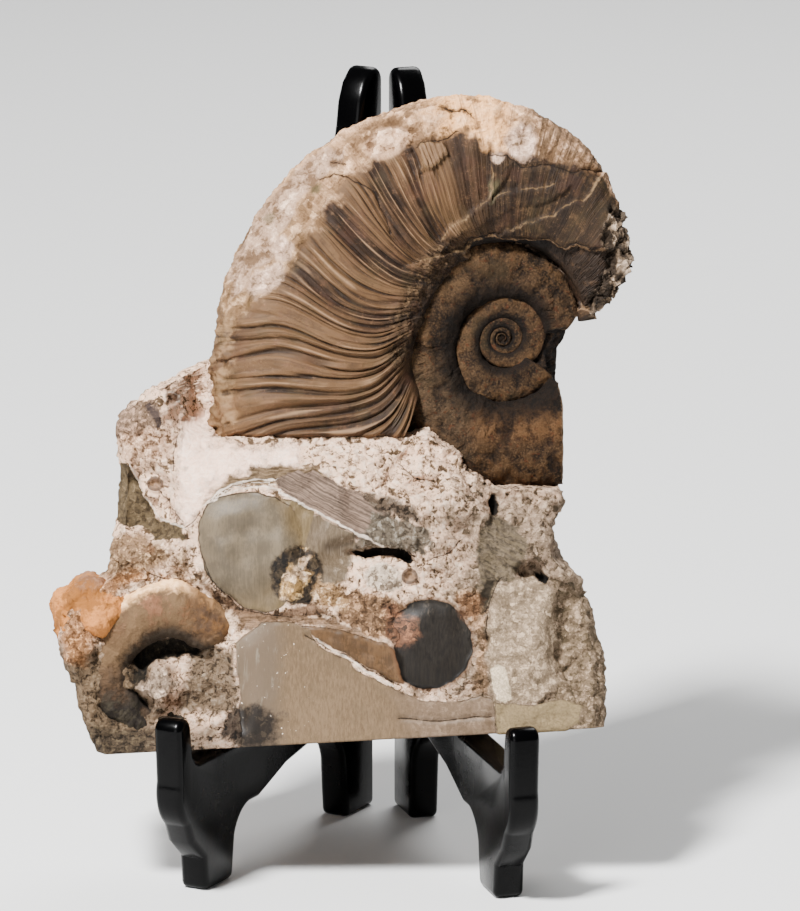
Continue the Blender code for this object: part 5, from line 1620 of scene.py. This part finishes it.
def build_leaf(word, body, material):
    """One leaf of the easel with its barrels and its turned-up foot."""
    settings = bpy.context.scene.ammonite_easel
    side = -1 if word == "left" else 1
    leaf = helper(f"easel_{word}", leaf_plate(side))
    bevel = leaf.modifiers.new("edges", "BEVEL")
    bevel.width = settings.rounding
    bevel.segments = 4
    bevel.limit_method = "ANGLE"
    bevel.angle_limit = math.radians(50.0)
    parts = []
    offset = 0.0 if side < 0 else BARREL_LENGTH + PLATE_GAP
    for low in (LOWER_BARREL + offset, UPPER_BARREL - offset):
        parts.append((web_mesh(side, low, low + BARREL_LENGTH), "UNION"))
        parts.append((tube_mesh("barrel", BARREL_RADIUS, low, low + BARREL_LENGTH), "UNION"))
        if side > 0:
            parts.append((tube_mesh("bore", BORE_RADIUS, low - 1.0, low + BARREL_LENGTH + 1.0), "DIFFERENCE"))
    if side < 0:
        parts.append((tube_mesh("rod", ROD_RADIUS, LOWER_BARREL + 2.0, UPPER_BARREL + BARREL_LENGTH - 2.0),
                      "UNION"))
    others = []
    for mesh, operation in parts:
        other = helper(mesh.name, mesh)
        others.append(other)
        modifier = leaf.modifiers.new(mesh.name, "BOOLEAN")
        modifier.operation = operation
        modifier.solver = "EXACT"
        modifier.object = other
    graph = bpy.context.evaluated_depsgraph_get()
    mesh = bpy.data.meshes.new_from_object(leaf.evaluated_get(graph))
    for other in others + [leaf]:
        bpy.data.objects.remove(other, do_unlink=True)
    turn = Matrix.Rotation(math.radians(LEAF_ANGLES[word]), 4, "Z")
    mesh.transform(Matrix.Translation((HINGE.x, HINGE.y, 0.0)) @ turn)
    mesh.shade_smooth()
    mesh.set_sharp_from_angle(angle=math.radians(32.0))
    made = new_object(f"easel_{word}", mesh, material)
    return finish_piece(made, body, "easel", f"easel_{word}_leaf")


def easel_finish():
    """Glossy black moulded plastic with faint handling marks."""
    settings = bpy.context.scene.ammonite_easel
    f = Finish("easel_plastic")
    smudge = f.noise(f.at, 0.09, 4.0, 0.6)
    grain = f.noise(f.at, 1.6, 2.0)
    base = f.mix(f.step(smudge, 0.5, 0.75) * 0.4, paint(settings.black), colour("08090a"))
    roughness = settings.polish + f.step(smudge, 0.45, 0.75) * 0.14 + (grain - 0.5) * 0.05
    return f.close(base, roughness, grain * 0.012 + smudge * 0.05, Specular_IOR_Level=0.1)


# The stage

def build_stage():
    """A pale flat floor and three soft lights."""
    settings = bpy.context.scene.ammonite_stage
    half = 4.0
    points = [(-half, -half, 0.0), (half, -half, 0.0), (half, half, 0.0), (-half, half, 0.0)]
    mesh = bpy.data.meshes.new("floor")
    mesh.from_pydata(points, [], [(0, 1, 2, 3)])
    f = Finish("floor")
    tone = f.noise(f.at, 0.004, 2.0)
    shade = tuple(0.97 * part for part in settings.floor)
    made = new_object("floor", mesh, f.close(f.mix(tone, (*tuple(settings.floor), 1.0), (*shade, 1.0)), 0.85))
    lights = (("key", (-0.32, -0.4, 0.76), 0.14, 32.0), ("fill", (-0.4, -0.9, 0.3), 0.5, 2.7),
              ("back", (0.2, 0.6, 0.7), 0.5, 8.0))
    aim = Vector((0.0, 0.0, 0.065))
    for name, place, size, power in lights:
        light = bpy.data.lights.new(name, "AREA")
        light.shape = "SQUARE"
        light.size = size
        light.energy = power * settings.light
        made = bpy.data.objects.new(name, light)
        bpy.context.scene.collection.objects.link(made)
        made.location = place
        made.rotation_euler = (aim - Vector(place)).to_track_quat("-Z", "Y").to_euler()
    world = bpy.data.worlds.new("studio")
    bpy.context.scene.world = world
    world.use_nodes = True
    background = world.node_tree.nodes["Background"]
    background.inputs["Color"].default_value = (0.85, 0.87, 0.9, 1.0)
    background.inputs["Strength"].default_value = 0.18 * settings.light


def build_camera():
    """The camera, square to the rock's face as in the picture."""
    data = bpy.data.cameras.new("camera")
    camera = bpy.data.objects.new("camera", data)
    bpy.context.scene.collection.objects.link(camera)
    aim = np.array([[(PICTURE[0] / 2 - COIL_AT[0]) * GRID, (COIL_AT[1] - PICTURE[1] / 2) * GRID,
                     VIEW_DISTANCE]])
    place = placed(aim)[0]
    sine, cosine = math.sin(LEAN), math.cos(LEAN)
    turn = Matrix(((1.0, 0.0, 0.0), (0.0, sine, -cosine), (0.0, cosine, sine))).to_4x4()
    camera.matrix_world = Matrix.Translation(place) @ turn
    data.sensor_width = 36.0
    data.lens = 36.0 * VIEW_DISTANCE / (PICTURE[1] * GRID)
    data.clip_start = 0.05
    bpy.context.scene.camera = camera


# Operators

class AMMONITE_OT_rock(bpy.types.Operator):
    """Build the block of rock and the orange lump"""
    bl_idname = "ammonite.rock"
    bl_label = "Rock"
    bl_options = {"REGISTER", "UNDO"}

    def execute(self, context):
        build_rock(rock_finish())
        build_lump(lump_finish())
        return {"FINISHED"}


class AMMONITE_OT_large_shell(bpy.types.Operator):
    """Build the large shell's last whorl"""
    bl_idname = "ammonite.large_shell"
    bl_label = "Large shell"
    bl_options = {"REGISTER", "UNDO"}

    def execute(self, context):
        build_large_shell(shell_finish())
        return {"FINISHED"}


class AMMONITE_OT_inner_whorls(bpy.types.Operator):
    """Build the older whorls"""
    bl_idname = "ammonite.inner_whorls"
    bl_label = "Inner whorls"
    bl_options = {"REGISTER", "UNDO"}

    def execute(self, context):
        build_inner_whorls(inner_finish())
        return {"FINISHED"}


class AMMONITE_OT_small_shell(bpy.types.Operator):
    """Build the small shell"""
    bl_idname = "ammonite.small_shell"
    bl_label = "Small shell"
    bl_options = {"REGISTER", "UNDO"}

    def execute(self, context):
        build_small_shell(small_finish())
        return {"FINISHED"}


class AMMONITE_OT_easel(bpy.types.Operator):
    """Build the two leaves of the easel"""
    bl_idname = "ammonite.easel"
    bl_label = "Easel"
    bl_options = {"REGISTER", "UNDO"}

    def execute(self, context):
        black = easel_finish()
        build_leaf("left", "root", black)
        build_leaf("right", "right_leaf", black)
        return {"FINISHED"}


class AMMONITE_OT_stage(bpy.types.Operator):
    """Build the floor, the lights and the camera"""
    bl_idname = "ammonite.stage"
    bl_label = "Stage"
    bl_options = {"REGISTER", "UNDO"}

    def execute(self, context):
        build_stage()
        build_camera()
        return {"FINISHED"}


OPERATORS = (AMMONITE_OT_stage, AMMONITE_OT_rock, AMMONITE_OT_large_shell, AMMONITE_OT_inner_whorls,
             AMMONITE_OT_small_shell, AMMONITE_OT_easel)
SETTINGS = {"ammonite_shell": ShellSettings, "ammonite_rock": RockSettings,
            "ammonite_easel": EaselSettings, "ammonite_stage": StageSettings}


class AMMONITE_PT_panel(bpy.types.Panel):
    """Lists the pieces and their settings"""
    bl_label = "Ammonite"
    bl_space_type = "VIEW_3D"
    bl_region_type = "UI"
    bl_category = "Ammonite"

    def draw(self, context):
        for operator in OPERATORS:
            self.layout.operator(operator.bl_idname)
        for name, group in SETTINGS.items():
            box = self.layout.box()
            for setting in group.__annotations__:
                box.prop(getattr(context.scene, name), setting)


def register():
    for group in SETTINGS.values():
        bpy.utils.register_class(group)
    for operator in OPERATORS:
        bpy.utils.register_class(operator)
    bpy.utils.register_class(AMMONITE_PT_panel)
    for name, group in SETTINGS.items():
        setattr(bpy.types.Scene, name, PointerProperty(type=group))


def unregister():
    for name in SETTINGS:
        delattr(bpy.types.Scene, name)
    bpy.utils.unregister_class(AMMONITE_PT_panel)
    for operator in reversed(OPERATORS):
        bpy.utils.unregister_class(operator)
    for group in reversed(list(SETTINGS.values())):
        bpy.utils.unregister_class(group)


def main():
    register()
    for operator in OPERATORS:
        group, name = operator.bl_idname.split(".")
        getattr(getattr(bpy.ops, group), name)()


if __name__ == "__main__":
    main()
